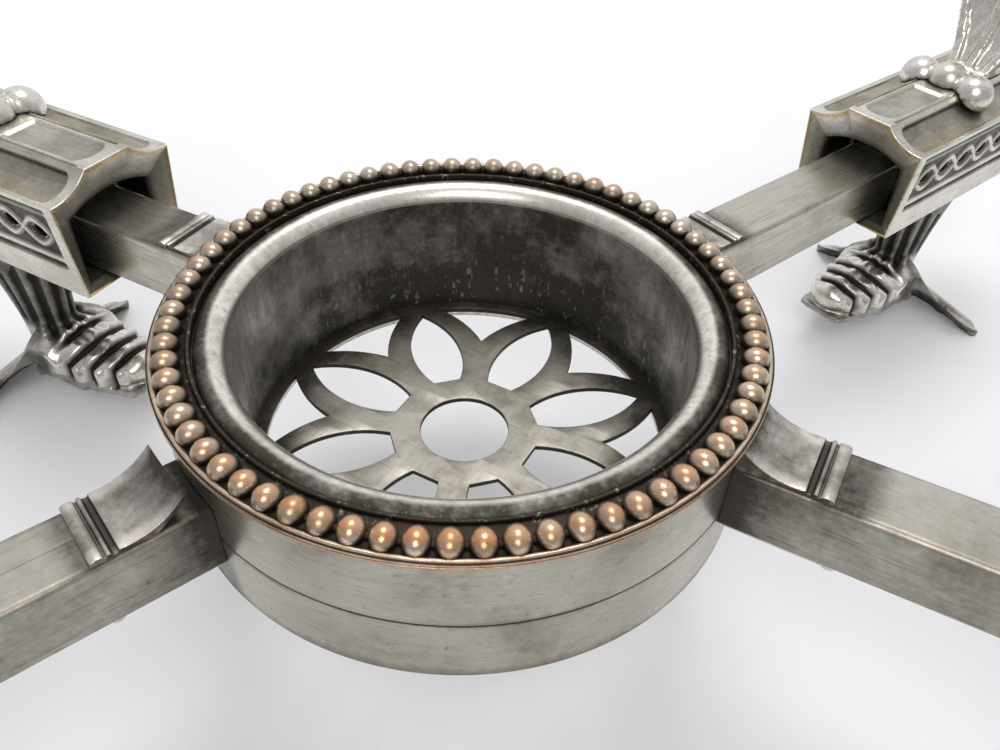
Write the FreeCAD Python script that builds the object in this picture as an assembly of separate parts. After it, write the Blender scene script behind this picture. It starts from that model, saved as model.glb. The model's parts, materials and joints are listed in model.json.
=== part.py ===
import FreeCAD, Part
import math
import os

# A dish cross in plated copper: a round lamp well with a beaded border carries two stacked collars,
# each collar holds a pair of square arms, and a footed sleeve slides on every arm.
# The lower collar turns on the well, so the two pairs of arms open and close like scissors.
# Millimetres. The table is at height zero, +Z is up along the axis of the well,
# and +X runs along the upper pair of arms, towards the right front one.

# Border and well
bead_circle_r = 40.0        # axis to bead centres
bead_count = 70
bead_r = 1.7
bead_plane_z = 56.0         # table to bead centres
bead_sink = 0.3             # bead centres above the flange
flange_t = 0.9
flange_lip = 0.9            # flange beyond the beads
flange_overhang = 0.8       # flange beyond the drum wall
line_gap = 0.9              # bead to the fine raised line
line_w = 0.5
line_h = 0.7
well_r = 32.5               # inside of the well
liner_wall = 0.7
lip_w = 2.3                 # lip beyond the liner
lip_h = 1.3                 # lip above the collar

# Collars
upper_collar_h = 11.9
lower_collar_h = 10.6
collar_wall = 1.2
seam_gap = 0.3
run_gap = 0.25              # turning clearance of the lower collar on the liner
solder_gap = 0.05           # curved seats that are soldered
ring_t = 0.8
ring_setback = 0.8          # bottom ring inside the drum wall

# Pierced rosette at the foot of the well
grate_t = 0.9
grate_rim_w = 1.8
hub_hole_r = 6.9
petal_count = 8
petal_root_r = 11.4
petal_root_half_w = 2.2
petal_wide_r = 20.0
petal_half_w = 4.1
petal_tip_r = 29.6
fork_r = 21.6               # where two petal bands part
band_bulge_r = 25.8
band_bulge_half_w = 6.5
band_end_half_w = 3.4       # half width of a petal where it meets the rim

# Arms
arm_w = 10.9
arm_h = 10.7
arm_wall = 0.8
arm_corner_r = 0.7
arm_end_r = 162.0           # axis to the open end of an arm
pair_angle = 67.1           # degrees from an upper arm round to a lower arm
upper_arm_drop = 3.5        # collar top down to the upper arm
lower_arm_raise = 5.9       # collar bottom up to the lower arm
turn_gap = 0.6              # arm root to the collar that turns past it

# Root brackets and straps
bracket_l = 11.8
bracket_side = 0.25         # bracket inside the arm's edge
bracket_lip_h = 0.7         # height at the outer end
bracket_tip_t = 1.1
free_bracket_rise = 4.2     # a bracket that stands clear of the upper collar
free_bracket_gap = 2.3
reed_r = 0.5
reed_pitch = 1.25
strap_t = 0.8
strap_l = 13.5
strap_side = 1.0
strap_nub_r = 1.2

# End caps
cap_t = 1.6
cap_lip = 1.0               # cap beyond the arm's faces
cap_plug_l = 5.0
cap_plug_gap = 0.1
cap_dome_r = 3.4
cap_dome_h = 1.4

# Sliding sleeves
sleeve_l = 60.0
sleeve_wall = 1.0
slide_gap = 0.15            # arm to the guide and the floor
crown_half_w = 4.6          # flat top
crown_rise = 9.4            # flat top above the arm
corner_room = 7.1           # upper corner beyond the arm's side
corner_rise = 6.2
cove_sink = 1.1             # sag of the shoulder cove
floor_room = 5.7            # lower corner beyond the arm's side
end_rim_t = 1.2
mouth_room = 3.9            # opening in the end rim beyond the arm's side
mouth_rise = 4.2            # crown of the opening's arch above the arm
mouth_spring = 2.2          # foot of the arch above the arm
panel_depth = 0.35
panel_margin = 3.2
panel_half_h = 4.2
panel_edge = 1.5
eye_count = 8
eye_drop = 6.3              # upper corner down to the row of eyes
eye_half_l = 1.9
eye_half_h = 1.15
stop_gap = 0.3              # sleeve to the strap or the cap at the ends of its travel

# Guide inside a sleeve
guide_inset = 8.0
guide_wall = 0.8
guide_web_w = 2.0

# Legs and shell feet
leg_top_u = 35.5            # along the sleeve to the middle of the leg's top
leg_top_half_l = 13.0
leg_top_half_w = 8.0
shin_u = 33.2               # along the sleeve to the middle of the leg's foot
shin_half_l = 6.2
shin_half_w = 4.0
ankle_u = 30.0              # along the sleeve to the middle of the shell foot
ankle_r = 3.9
foot_r = 24.6               # ankle to the tip of the toe, which points inwards
foot_h = 17.0
foot_rim_t = 1.3
foot_pad_w = 2.8            # flat under the rim, before the shell is drawn to its outline
heel_r = 14.0               # ankle to the outer rim, straight out
wing_out = 10.1             # ankle to the tips of the wings, outwards
wing_half_w = 24.3
lobe_count = 6              # scallops of the outer rim
lobe_notch = 1.1
lobe_rib_r = 1.7
toe_half_w = 5.2
toe_lobe_r = 7.2
toe_lobe_half_w = 8.6

# Dish supports
dish_z = 87.6               # table to the underside of a dish, the same on all four supports
support_u = 33.5            # along the sleeve to the foot of the support
support_lean = 12.0         # how far the top leans outwards
support_t = 1.5
support_rim_t = 1.1
support_rim_w = 1.5
support_half_w = 9.0
support_base_l = 13.0
support_base_t = 1.2
support_pad_l = 5.0
keel_half_w = 0.8
roll_u = 27.0               # along the sleeve to the lobed roll at the support's base
roll_r = 4.0
roll_pitch = 5.8
roll_sink = 0.8             # outer rolls below the crown

cut_over = 1.0              # how far a cutting solid runs past what it cuts

# Shapes as shares of the sizes that they follow
support_curve_shares = [(0.0, 0.0), (0.40, 0.21), (0.60, 0.46), (0.70, 0.71), (1.0, 1.0)]
support_width_shares = [(0.0, 0.46), (0.16, 0.62), (0.48, 1.0), (0.80, 0.86), (1.0, 0.52)]
leg_taper_shares = [(0.0, 1.0), (0.20, 0.70), (0.50, 0.30), (0.80, 0.06), (1.0, 0.0)]
toe_lobe_shares = [(0.14, 0.62, 0.86, 1.0), (0.37, 0.53, 1.0, 0.95), (0.58, 0.60, 0.83, 0.82),
                   (0.76, 0.67, 0.62, 0.64), (0.88, 0.73, 0.42, 0.46)]
toe_sole_shares = [(0.0, 0.40), (-0.60, 0.42), (-1.04, 0.50), (-1.07, 0.57), (-0.60, 0.50), (0.0, 0.52)]
toe_under_share = 0.42
waist_shares = [(0.17, 0.62), (0.02, 0.40), (-0.27, 0.29)]
shell_root_share = 0.30
shin_foot_share = 0.34
foot_bend_share = (0.43, 0.50)
foot_hollow_share = (0.42, 0.46)
foot_peak_share = 0.72
rib_root_share = (0.30, 0.62)
eye_span_share = 0.793
slide_shares = {"right_front": 0.781, "left_back": 0.2144, "right_back": 0.8528, "left_front": 0.65}

# Heights and radii that follow
flange_r = bead_circle_r + bead_r + flange_lip
collar_r = flange_r - flange_overhang
collar_top_z = bead_plane_z - bead_sink - flange_t
seam_z = collar_top_z - upper_collar_h
lower_top_z = seam_z - seam_gap
lower_bottom_z = lower_top_z - lower_collar_h
ring_top_z = lower_bottom_z - run_gap
grate_top_z = ring_top_z + grate_t
liner_r = well_r + liner_wall
line_r = bead_circle_r - bead_r - line_gap
upper_arm_top = collar_top_z - upper_arm_drop
lower_arm_top = lower_bottom_z + lower_arm_raise + arm_h

rim_half_w = wing_half_w / math.sqrt(1 - (wing_out / heel_r) ** 2)
wing_angle = math.degrees(math.atan2(wing_half_w / rim_half_w, wing_out / heel_r))

up = FreeCAD.Vector(0, 0, 1)
centre = FreeCAD.Vector(0, 0, 0)


def vec(x, y, z):
    return FreeCAD.Vector(x, y, z)


def save(shape, name):
    shape.exportStep("parts/" + name + ".step")


def ring(inner_r, outer_r, bottom, top):
    outer = Part.makeCylinder(outer_r, top - bottom, vec(0, 0, bottom))
    inner = Part.makeCylinder(inner_r, top - bottom + 2 * cut_over, vec(0, 0, bottom - cut_over))
    return outer.cut(inner)


def box(low, high):
    return Part.makeBox(high[0] - low[0], high[1] - low[1], high[2] - low[2], vec(*low))


def wire_of(edges):
    return Part.Wire([edge.toShape() for edge in edges])


def arc(first, middle, last):
    return Part.Arc(first, middle, last)


def line(first, last):
    return Part.LineSegment(first, last)


def bend(points):
    """A smooth curve through a few points, for sections that are spun about a near axis."""
    curve = Part.BSplineCurve()
    curve.interpolate(points)
    return curve


def side_prism(points, half_w):
    """A closed outline of (along, up) points, run across the arm."""
    outline = Part.makePolygon([vec(u, -half_w, z) for u, z in points + points[:1]])
    return Part.Face(outline).extrude(vec(0, 2 * half_w, 0))


# Well

def make_well_liner():
    """A cup wall that stands on the rim of the rosette, with a rolled lip."""
    lip_top = collar_top_z + lip_h
    lip_edge = liner_r + lip_w
    lip_crest = (well_r + lip_edge) / 2
    edges = [
        line(vec(well_r, 0, grate_top_z), vec(liner_r, 0, grate_top_z)),
        line(vec(liner_r, 0, grate_top_z), vec(liner_r, 0, collar_top_z)),
        line(vec(liner_r, 0, collar_top_z), vec(lip_edge, 0, collar_top_z)),
        arc(vec(lip_edge, 0, collar_top_z), vec(lip_crest, 0, lip_top), vec(well_r, 0, collar_top_z)),
        line(vec(well_r, 0, collar_top_z), vec(well_r, 0, grate_top_z)),
    ]
    return Part.Face(wire_of(edges)).revolve(centre, up, 360)


def make_beaded_border():
    border = ring(line_r - line_w, flange_r, collar_top_z, collar_top_z + flange_t)
    border = border.fuse(ring(line_r - line_w, line_r, collar_top_z, collar_top_z + flange_t + line_h))
    beads = []
    for index in range(bead_count):
        turn = 2 * math.pi * index / bead_count
        place = vec(bead_circle_r * math.cos(turn), bead_circle_r * math.sin(turn), bead_plane_z)
        beads.append(Part.makeSphere(bead_r, place))
    keep = ring(line_r, flange_r, collar_top_z, bead_plane_z + bead_r + cut_over)
    return border.fuse([bead.common(keep) for bead in beads]).removeSplitter()


def make_collar(bottom, top, plate_bottom, bearing_r):
    wall = ring(collar_r - collar_wall, collar_r, bottom, top)
    bearing = ring(bearing_r, bearing_r + collar_wall, bottom, top)
    plate = ring(bearing_r, collar_r, plate_bottom, plate_bottom + collar_wall)
    return wall.fuse([bearing, plate]).removeSplitter()


def petal_opening():
    root = vec(petal_root_r, petal_root_half_w, 0)
    wide = vec(petal_wide_r, petal_half_w, 0)
    tip = vec(petal_tip_r, 0, 0)
    edges = [
        arc(root, wide, tip),
        arc(tip, vec(wide.x, -wide.y, 0), vec(root.x, -root.y, 0)),
        line(vec(root.x, -root.y, 0), root),
    ]
    return Part.Face(wire_of(edges))


def spandrel_opening(rim_r):
    half = math.pi / petal_count
    far = 2 * half
    fork = vec(fork_r * math.cos(half), fork_r * math.sin(half), 0)
    end_turn = math.asin(band_end_half_w / rim_r)
    bulge_r = math.hypot(band_bulge_r, band_bulge_half_w)
    bulge_turn = math.atan2(band_bulge_half_w, band_bulge_r)
    start = vec(rim_r * math.cos(end_turn), rim_r * math.sin(end_turn), 0)
    end = vec(rim_r * math.cos(far - end_turn), rim_r * math.sin(far - end_turn), 0)
    near_bend = vec(bulge_r * math.cos(bulge_turn), bulge_r * math.sin(bulge_turn), 0)
    far_bend = vec(bulge_r * math.cos(far - bulge_turn), bulge_r * math.sin(far - bulge_turn), 0)
    edges = [
        arc(fork, near_bend, start),
        arc(start, vec(rim_r * math.cos(half), rim_r * math.sin(half), 0), end),
        arc(end, far_bend, fork),
    ]
    return Part.Face(wire_of(edges))


def make_rosette_grate():
    plate = ring(hub_hole_r, liner_r, ring_top_z, grate_top_z)
    openings = []
    for index in range(petal_count):
        for face in (petal_opening(), spandrel_opening(well_r - grate_rim_w)):
            cutter = face.extrude(vec(0, 0, grate_t + 2 * cut_over))
            cutter.translate(vec(0, 0, ring_top_z - cut_over))
            cutter.rotate(centre, up, 360 * index / petal_count)
            openings.append(cutter)
    return plate.cut(openings)


def make_retaining_ring():
    inner_r = well_r - grate_rim_w
    return ring(inner_r, collar_r - ring_setback, ring_top_z - ring_t, ring_top_z)


# Arms. Each piece is made along +X and turned to its arm afterwards.

def drum_cutter(gap, bottom, top):
    return Part.makeCylinder(collar_r + gap, top - bottom, vec(0, 0, bottom))


def clear_of_drum(shape, is_upper):
    """Shapes a root piece to its own collar and keeps it off the other one."""
    low = lower_bottom_z - cut_over
    high = bead_plane_z + cut_over
    own_gap = solder_gap
    gaps = (turn_gap, own_gap) if is_upper else (own_gap, turn_gap)
    shape = shape.cut(drum_cutter(gaps[0], low, seam_z))
    return shape.cut(drum_cutter(gaps[1], seam_z, high))


def make_arm(arm_top, is_upper):
    start = collar_r * math.cos(math.asin(arm_w / 2 / collar_r)) - cut_over
    tube = box((start, -arm_w / 2, arm_top - arm_h), (arm_end_r, arm_w / 2, arm_top))
    long_edges = [edge for edge in tube.Edges if abs(edge.Length - (arm_end_r - start)) < solder_gap]
    tube = tube.makeFillet(arm_corner_r, long_edges)
    bore = box((start - cut_over, arm_wall - arm_w / 2, arm_top - arm_h + arm_wall),
               (arm_end_r + cut_over, arm_w / 2 - arm_wall, arm_top - arm_wall))
    return clear_of_drum(tube.cut(bore), is_upper)


def bracket_start(is_upper):
    return collar_r + (solder_gap if is_upper else free_bracket_gap)


def make_bracket(arm_top, is_upper):
    start = bracket_start(is_upper)
    end = start + bracket_l
    rise = collar_top_z - arm_top - solder_gap if is_upper else free_bracket_rise
    half_w = arm_w / 2 - bracket_side
    root = start - cut_over if is_upper else start
    lip = arm_top + bracket_lip_h
    reeds_start = end - 3 * reed_pitch
    tip = vec(start, 0, arm_top + rise)
    middle = vec((2 * start + reeds_start) / 3, 0, arm_top + (bracket_lip_h + rise) / 2 - reed_r)
    under_tip = max(arm_top, arm_top + rise - bracket_tip_t)
    edges = [
        line(vec(end, 0, arm_top), vec(end, 0, lip)),
        line(vec(end, 0, lip), vec(reeds_start, 0, lip)),
        arc(vec(reeds_start, 0, lip), middle, tip),
    ]
    if is_upper:
        edges.append(line(tip, vec(root, 0, arm_top + rise)))
        edges.append(line(vec(root, 0, arm_top + rise), vec(root, 0, arm_top)))
        edges.append(line(vec(root, 0, arm_top), vec(end, 0, arm_top)))
    else:
        heel = vec((start + reeds_start) / 2, 0, arm_top)
        edges.append(line(tip, vec(start, 0, under_tip)))
        edges.append(line(vec(start, 0, under_tip), heel))
        edges.append(line(heel, vec(end, 0, arm_top)))
    slab = Part.Face(wire_of(edges)).extrude(vec(0, 2 * half_w, 0))
    slab.translate(vec(0, -half_w, 0))
    for step in (1, 2):
        place = vec(end - (step - 0.5) * reed_pitch, -half_w, lip)
        slab = slab.fuse(Part.makeCylinder(reed_r, 2 * half_w, place, vec(0, 1, 0)))
    return clear_of_drum(slab.removeSplitter(), is_upper)


def strap_start(is_upper):
    return collar_r + (turn_gap if is_upper else solder_gap)


def make_strap(arm_top, is_upper):
    start = strap_start(is_upper)
    bottom = arm_top - arm_h
    half_w = arm_w / 2 - strap_side
    plate = box((start - cut_over, -half_w, bottom - strap_t), (start + strap_l, half_w, bottom))
    nub = Part.makeCylinder(strap_nub_r, 2 * half_w, vec(start + strap_l, -half_w, bottom), vec(0, 1, 0))
    below = box((start, -half_w, bottom - 2 * strap_nub_r),
                (start + strap_l + 2 * strap_nub_r, half_w, bottom))
    strap = plate.fuse(nub.common(below)).removeSplitter()
    return clear_of_drum(strap, is_upper)


def make_end_cap(arm_top):
    half_w = arm_w / 2 + cap_lip
    bottom = arm_top - arm_h
    plate = box((arm_end_r, -half_w, bottom - cap_lip), (arm_end_r + cap_t, half_w, arm_top + cap_lip))
    inset = arm_wall + cap_plug_gap
    plug = box((arm_end_r - cap_plug_l, inset - arm_w / 2, bottom + inset),
               (arm_end_r, arm_w / 2 - inset, arm_top - inset))
    middle = vec(arm_end_r + cap_t, 0, arm_top - arm_h / 2)
    ball_r = (cap_dome_r ** 2 + cap_dome_h ** 2) / (2 * cap_dome_h)
    ball = Part.makeSphere(ball_r, middle - vec(ball_r - cap_dome_h, 0, 0))
    dome = ball.common(Part.makeCylinder(cap_dome_r, cap_dome_h, middle, vec(1, 0, 0)))
    return plate.fuse([plug, dome]).removeSplitter()


# Sleeves. Each is made along +X from its inner end, with the arm's top at height arm_top.

def sleeve_outline(arm_top, inset):
    """The closed section of the sleeve, drawn across the arm and moved in by inset."""
    crown = arm_top + crown_rise - inset
    crown_half = crown_half_w - inset / 2
    corner_half = arm_w / 2 + corner_room - inset
    corner = arm_top + corner_rise - inset
    floor_half = arm_w / 2 + floor_room - inset
    floor = arm_top - arm_h - slide_gap - sleeve_wall + inset
    cove_half = (crown_half + corner_half) / 2
    cove = (crown + corner) / 2 - cove_sink
    edges = [
        line(vec(0, -floor_half, floor), vec(0, floor_half, floor)),
        line(vec(0, floor_half, floor), vec(0, corner_half, corner)),
        arc(vec(0, corner_half, corner), vec(0, cove_half, cove), vec(0, crown_half, crown)),
        line(vec(0, crown_half, crown), vec(0, -crown_half, crown)),
        arc(vec(0, -crown_half, crown), vec(0, -cove_half, cove), vec(0, -corner_half, corner)),
        line(vec(0, -corner_half, corner), vec(0, -floor_half, floor)),
    ]
    return Part.Face(wire_of(edges))


def side_slope():
    """The lean of a sleeve's side wall, in degrees from upright."""
    side_h = corner_rise + arm_h + slide_gap + sleeve_wall
    return math.degrees(math.atan((corner_room - floor_room) / side_h))


def side_cutters(arm_top, side):
    """The panel sunk in one side wall and the row of eyes pierced through it."""
    eye_z = arm_top + corner_rise - eye_drop
    wall_y = arm_w / 2 + corner_room - eye_drop * math.tan(math.radians(side_slope()))
    panel = box((panel_margin, -panel_depth, -panel_half_h), (sleeve_l - panel_margin, cut_over, panel_half_h))
    cutters = [panel]
    span = sleeve_l * eye_span_share
    for index in range(eye_count):
        middle = sleeve_l / 2 + span * (index / (eye_count - 1) - 0.5)
        bar = box((middle - eye_half_l + eye_half_h, -sleeve_wall - cut_over, -eye_half_h),
                  (middle + eye_half_l - eye_half_h, cut_over, eye_half_h))
        cutters.append(bar)
        for end in (-1, 1):
            place = vec(middle + end * (eye_half_l - eye_half_h), -sleeve_wall - cut_over, 0)
            cutters.append(Part.makeCylinder(eye_half_h, sleeve_wall + 2 * cut_over, place, vec(0, 1, 0)))
    for cutter in cutters:
        cutter.rotate(centre, vec(1, 0, 0), -side_slope())
        cutter.translate(vec(0, wall_y, eye_z))
        if side < 0:
            cutter.rotate(vec(sleeve_l / 2, 0, 0), up, 180)
    return cutters


def crown_cutters(arm_top):
    """Sunk panels in the flat top, one on each side of the support."""
    top = arm_top + crown_rise
    half_w = crown_half_w - panel_edge
    near_end = roll_u - roll_r - panel_edge
    far_start = roll_u + support_base_l + panel_edge
    inner = box((panel_margin, -half_w, top - panel_depth), (near_end, half_w, top + cut_over))
    outer = box((far_start, -half_w, top - panel_depth), (sleeve_l - panel_margin, half_w, top + cut_over))
    return [inner, outer]


def make_mouth(arm_top):
    """The arched opening through both ends of a sleeve."""
    half_w = arm_w / 2 + mouth_room
    floor = arm_top - arm_h - slide_gap
    spring = arm_top + mouth_spring
    edges = [
        line(vec(-cut_over, -half_w, floor), vec(-cut_over, half_w, floor)),
        line(vec(-cut_over, half_w, floor), vec(-cut_over, half_w, spring)),
        arc(vec(-cut_over, half_w, spring), vec(-cut_over, 0, arm_top + mouth_rise),
            vec(-cut_over, -half_w, spring)),
        line(vec(-cut_over, -half_w, spring), vec(-cut_over, -half_w, floor)),
    ]
    return Part.Face(wire_of(edges)).extrude(vec(sleeve_l + 2 * cut_over, 0, 0))


def make_sleeve(arm_top):
    outer = sleeve_outline(arm_top, 0).extrude(vec(sleeve_l, 0, 0))
    inner = sleeve_outline(arm_top, sleeve_wall).extrude(vec(sleeve_l - 2 * end_rim_t, 0, 0))
    inner.translate(vec(end_rim_t, 0, 0))
    sleeve = outer.cut([inner, make_mouth(arm_top)])
    cutters = crown_cutters(arm_top) + side_cutters(arm_top, 1) + side_cutters(arm_top, -1)
    return sleeve.cut(cutters)


def make_guide(arm_top):
    """An inverted channel over the arm, hung from the sleeve's top and standing on its floor."""
    low = guide_inset
    high = sleeve_l - guide_inset
    inner_half = arm_w / 2 + slide_gap
    outer_half = inner_half + guide_wall
    floor = arm_top - arm_h - slide_gap
    roof = arm_top + slide_gap + guide_wall
    block = box((low, -outer_half, floor), (high, outer_half, roof))
    way = box((low - cut_over, -inner_half, floor - cut_over), (high + cut_over, inner_half, arm_top + slide_gap))
    web = box((low, -guide_web_w / 2, roof), (high, guide_web_w / 2, arm_top + crown_rise - sleeve_wall))
    return block.cut(way).fuse(web).removeSplitter()


# Legs

def ellipse_wire(u, z, half_l, half_w):
    if half_l >= half_w:
        shape = Part.Ellipse(vec(u + half_l, 0, z), vec(u, half_w, z), vec(u, 0, z))
    else:
        shape = Part.Ellipse(vec(u, half_w, z), vec(u - half_l, 0, z), vec(u, 0, z))
    return Part.Wire([shape.toShape()])


def make_stem(top_z):
    """The tapering leaf stem from the sleeve's floor into the shell foot."""
    bottom_z = foot_h * shin_foot_share
    wires = []
    for down, size in leg_taper_shares:
        u = shin_u + (leg_top_u - shin_u) * size
        z = top_z - (top_z - bottom_z) * down
        half_l = shin_half_l + (leg_top_half_l - shin_half_l) * size
        half_w = shin_half_w + (leg_top_half_w - shin_half_w) * size
        wires.append(ellipse_wire(u, z, half_l, half_w))
    return Part.makeLoft(wires, True, False)


def foot_dome():
    """The flared shell of the foot, still round and before its foot and outline are cut."""
    rim = vec(foot_r, 0, foot_rim_t)
    ankle = vec(ankle_r, 0, foot_h)
    waist = vec(foot_r * foot_bend_share[0], 0, foot_h * foot_bend_share[1])
    pad = vec(foot_r - foot_pad_w, 0, 0)
    hollow = vec(foot_r * foot_hollow_share[0], 0, foot_h * foot_hollow_share[1])
    peak = vec(0, 0, foot_h * foot_peak_share)
    edges = [
        line(vec(0, 0, foot_h), ankle),
        bend([ankle, waist, rim]),
        line(rim, vec(rim.x, 0, -cut_over)),
        line(vec(rim.x, 0, -cut_over), vec(pad.x, 0, -cut_over)),
        line(vec(pad.x, 0, -cut_over), pad),
        bend([pad, hollow, peak]),
        line(peak, vec(0, 0, foot_h)),
    ]
    return Part.Face(wire_of(edges)).revolve(centre, up, 360)


def rim_point(radius, degrees, z=0):
    """A place on the round shell, after it is drawn in outwards and out to the wings."""
    turn = math.radians(degrees)
    return vec(radius * math.cos(turn) * heel_r / foot_r, radius * math.sin(turn) * rim_half_w / foot_r, z)


def foot_outline():
    """The foot seen from above: a scalloped rim between two wings, a drawn-in waist and a narrow toe."""
    edges = []
    lobe = 2 * wing_angle / lobe_count
    for index in range(lobe_count):
        first = index * lobe - wing_angle
        edges.append(arc(rim_point(foot_r - lobe_notch, first), rim_point(foot_r, first + lobe / 2),
                         rim_point(foot_r - lobe_notch, first + lobe)))
    wing = rim_point(foot_r - lobe_notch, wing_angle)
    toe = vec(-math.sqrt(foot_r ** 2 - toe_half_w ** 2), toe_half_w, 0)
    waist = [vec(foot_r * out, wing_half_w * wide, 0) for out, wide in waist_shares]
    edges.append(bend([wing] + waist + [toe]))
    edges.append(arc(toe, vec(-foot_r, 0, 0), vec(toe.x, -toe.y, 0)))
    edges.append(bend([vec(point.x, -point.y, 0) for point in [toe] + waist[::-1] + [wing]]))
    return Part.Face(wire_of(edges))


def toe_lobe(x, z, radius, half_w):
    """One barrel-shaped rib across the toe."""
    end_r = radius / 2
    edges = [
        line(vec(x, -half_w, z), vec(x, -half_w, z + end_r)),
        bend([vec(x, -half_w, z + end_r), vec(x, 0, z + radius), vec(x, half_w, z + end_r)]),
        line(vec(x, half_w, z + end_r), vec(x, half_w, z)),
        line(vec(x, half_w, z), vec(x, -half_w, z)),
    ]
    return Part.Face(wire_of(edges)).revolve(vec(x, 0, z), vec(0, 1, 0), 360)


def make_foot():
    """The shell foot, with its ankle over the origin and its rim towards +X."""
    column = foot_outline().extrude(vec(0, 0, foot_h + 2 * cut_over))
    column.translate(vec(0, 0, -cut_over))
    drawn = FreeCAD.Matrix()
    drawn.scale(heel_r / foot_r, rim_half_w / foot_r, 1)
    shell = foot_dome().transformGeometry(drawn)
    ribs = []
    lobe = 2 * wing_angle / lobe_count
    for index in range(lobe_count):
        degrees = (index + 0.5) * lobe - wing_angle
        root = rim_point(foot_r * rib_root_share[0], degrees, foot_h * rib_root_share[1])
        tip = rim_point(foot_r, degrees)
        ribs.append(Part.makeCone(lobe_rib_r / 4, lobe_rib_r, (tip - root).Length, root, tip - root))
    shell_side = box((-foot_r * shell_root_share, -rim_half_w, 0), (foot_r, rim_half_w, foot_h))
    shell = shell.fuse(ribs).common(column).common(shell_side)
    sole = side_prism([(foot_r * out, foot_h * high) for out, high in toe_sole_shares], foot_r).common(column)
    over_sole = box((-2 * foot_r, -foot_r, foot_h * toe_under_share), (foot_r, foot_r, 2 * foot_h))
    lobes = [sole]
    for out, high, size, wide in toe_lobe_shares:
        lobe_solid = toe_lobe(-foot_r * out, foot_h * high, toe_lobe_r * size, toe_lobe_half_w * wide)
        lobes.append(lobe_solid.common(over_sole))
    return shell.fuse(lobes)


def make_leg(arm_top):
    foot = make_foot()
    foot.translate(vec(ankle_u, 0, 0))
    stem = make_stem(arm_top - arm_h - slide_gap - sleeve_wall)
    return foot.fuse(stem).removeSplitter()


# Dish supports

def support_path(base_z):
    rise = dish_z - base_z
    return [vec(support_u + support_lean * out, 0, base_z + rise * high) for out, high in support_curve_shares]


def support_sheet(base_z, half_t, half_w):
    """A sheet of even thickness that follows the support's curve, run across the arm."""
    path = support_path(base_z)
    reach = vec(half_t, 0, 0)
    inner = bend([point - reach for point in path])
    outer = bend([point + reach for point in reversed(path)])
    edges = [inner, line(path[-1] - reach, path[-1] + reach), outer, line(path[0] + reach, path[0] - reach)]
    sheet = Part.Face(wire_of(edges)).extrude(vec(0, 2 * half_w, 0))
    sheet.translate(vec(0, -half_w, 0))
    return sheet


def support_front(base_z, inset, reach):
    """The leaf outline seen along the arm, as a prism along the arm."""
    points = []
    for up_share, wide in support_width_shares:
        z = base_z + inset + (dish_z - base_z - 2 * inset) * up_share
        points.append(vec(0, support_half_w * wide - inset, z))
    right = bend(points)
    left = bend([vec(0, -point.y, point.z) for point in reversed(points)])
    top = line(points[-1], vec(0, -points[-1].y, points[-1].z))
    bottom = line(vec(0, -points[0].y, points[0].z), points[0])
    prism = Part.Face(wire_of([right, top, left, bottom])).extrude(vec(2 * reach, 0, 0))
    prism.translate(vec(support_u - reach, 0, 0))
    return prism


def make_support(arm_top):
    base_z = arm_top + crown_rise
    reach = 2 * support_lean
    thin = support_sheet(base_z, support_t / 2, support_half_w)
    thick = support_sheet(base_z, support_t / 2 + support_rim_t, support_half_w)
    leaf = support_front(base_z, 0, reach)
    hollow = support_front(base_z, support_rim_w, reach)
    rim = thick.common(leaf.cut(hollow))
    keel_box = box((support_u - reach, -keel_half_w, base_z), (support_u + reach, keel_half_w, dish_z))
    keel = thick.common(leaf).common(keel_box)
    base_half = crown_half_w - solder_gap
    base = box((roll_u, -base_half, base_z),
               (roll_u + support_base_l, base_half, base_z + support_base_t))
    top_u = support_u + support_lean
    pad_half = support_half_w * support_width_shares[-1][1]
    pad = box((top_u - support_pad_l / 2, -pad_half, dish_z - support_t),
              (top_u + support_pad_l / 2, pad_half, dish_z))
    saddle = sleeve_outline(arm_top, -solder_gap).extrude(vec(sleeve_l, 0, 0))
    rolls = []
    for side in (-1, 0, 1):
        middle = vec(roll_u, side * roll_pitch, base_z - abs(side) * roll_sink)
        rolls.append(Part.makeSphere(roll_r, middle).cut(saddle))
    return thin.common(leaf).fuse([rim, keel, base, pad] + rolls).removeSplitter()


# Assembly

def place(shape, azimuth, along=0):
    moved = shape.copy()
    moved.translate(vec(along, 0, 0))
    moved.rotate(centre, up, azimuth)
    return moved


def slide_start(name, is_upper):
    """Axis to the inner end of a sleeve, somewhere between the strap and the end cap."""
    nearest = strap_start(is_upper) + strap_l + strap_nub_r + stop_gap
    furthest = arm_end_r - stop_gap - sleeve_l
    return nearest + (furthest - nearest) * slide_shares[name]


def build():
    os.makedirs("parts", exist_ok=True)
    save(make_well_liner(), "well_liner")
    save(make_beaded_border(), "beaded_border")
    save(make_collar(seam_z, collar_top_z, collar_top_z - collar_wall, liner_r + solder_gap), "upper_collar")
    save(make_collar(lower_bottom_z, lower_top_z, lower_bottom_z, liner_r + run_gap), "lower_collar")
    save(make_rosette_grate(), "rosette_grate")
    save(make_retaining_ring(), "retaining_ring")
    arms = {"right_front": 0, "right_back": pair_angle, "left_back": 180, "left_front": 180 + pair_angle}
    for name, azimuth in arms.items():
        is_upper = name in ("right_front", "left_back")
        arm_top = upper_arm_top if is_upper else lower_arm_top
        save(place(make_arm(arm_top, is_upper), azimuth), "arm_" + name)
        save(place(make_bracket(arm_top, is_upper), azimuth), "root_bracket_" + name)
        save(place(make_strap(arm_top, is_upper), azimuth), "under_strap_" + name)
        save(place(make_end_cap(arm_top), azimuth), "end_cap_" + name)
        along = slide_start(name, is_upper)
        save(place(make_sleeve(arm_top), azimuth, along), "slide_sleeve_" + name)
        save(place(make_guide(arm_top), azimuth, along), "slide_guide_" + name)
        save(place(make_leg(arm_top), azimuth, along), "leg_" + name)
        save(place(make_support(arm_top), azimuth, along), "dish_support_" + name)


build()
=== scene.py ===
import json
import math
import random

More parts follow.
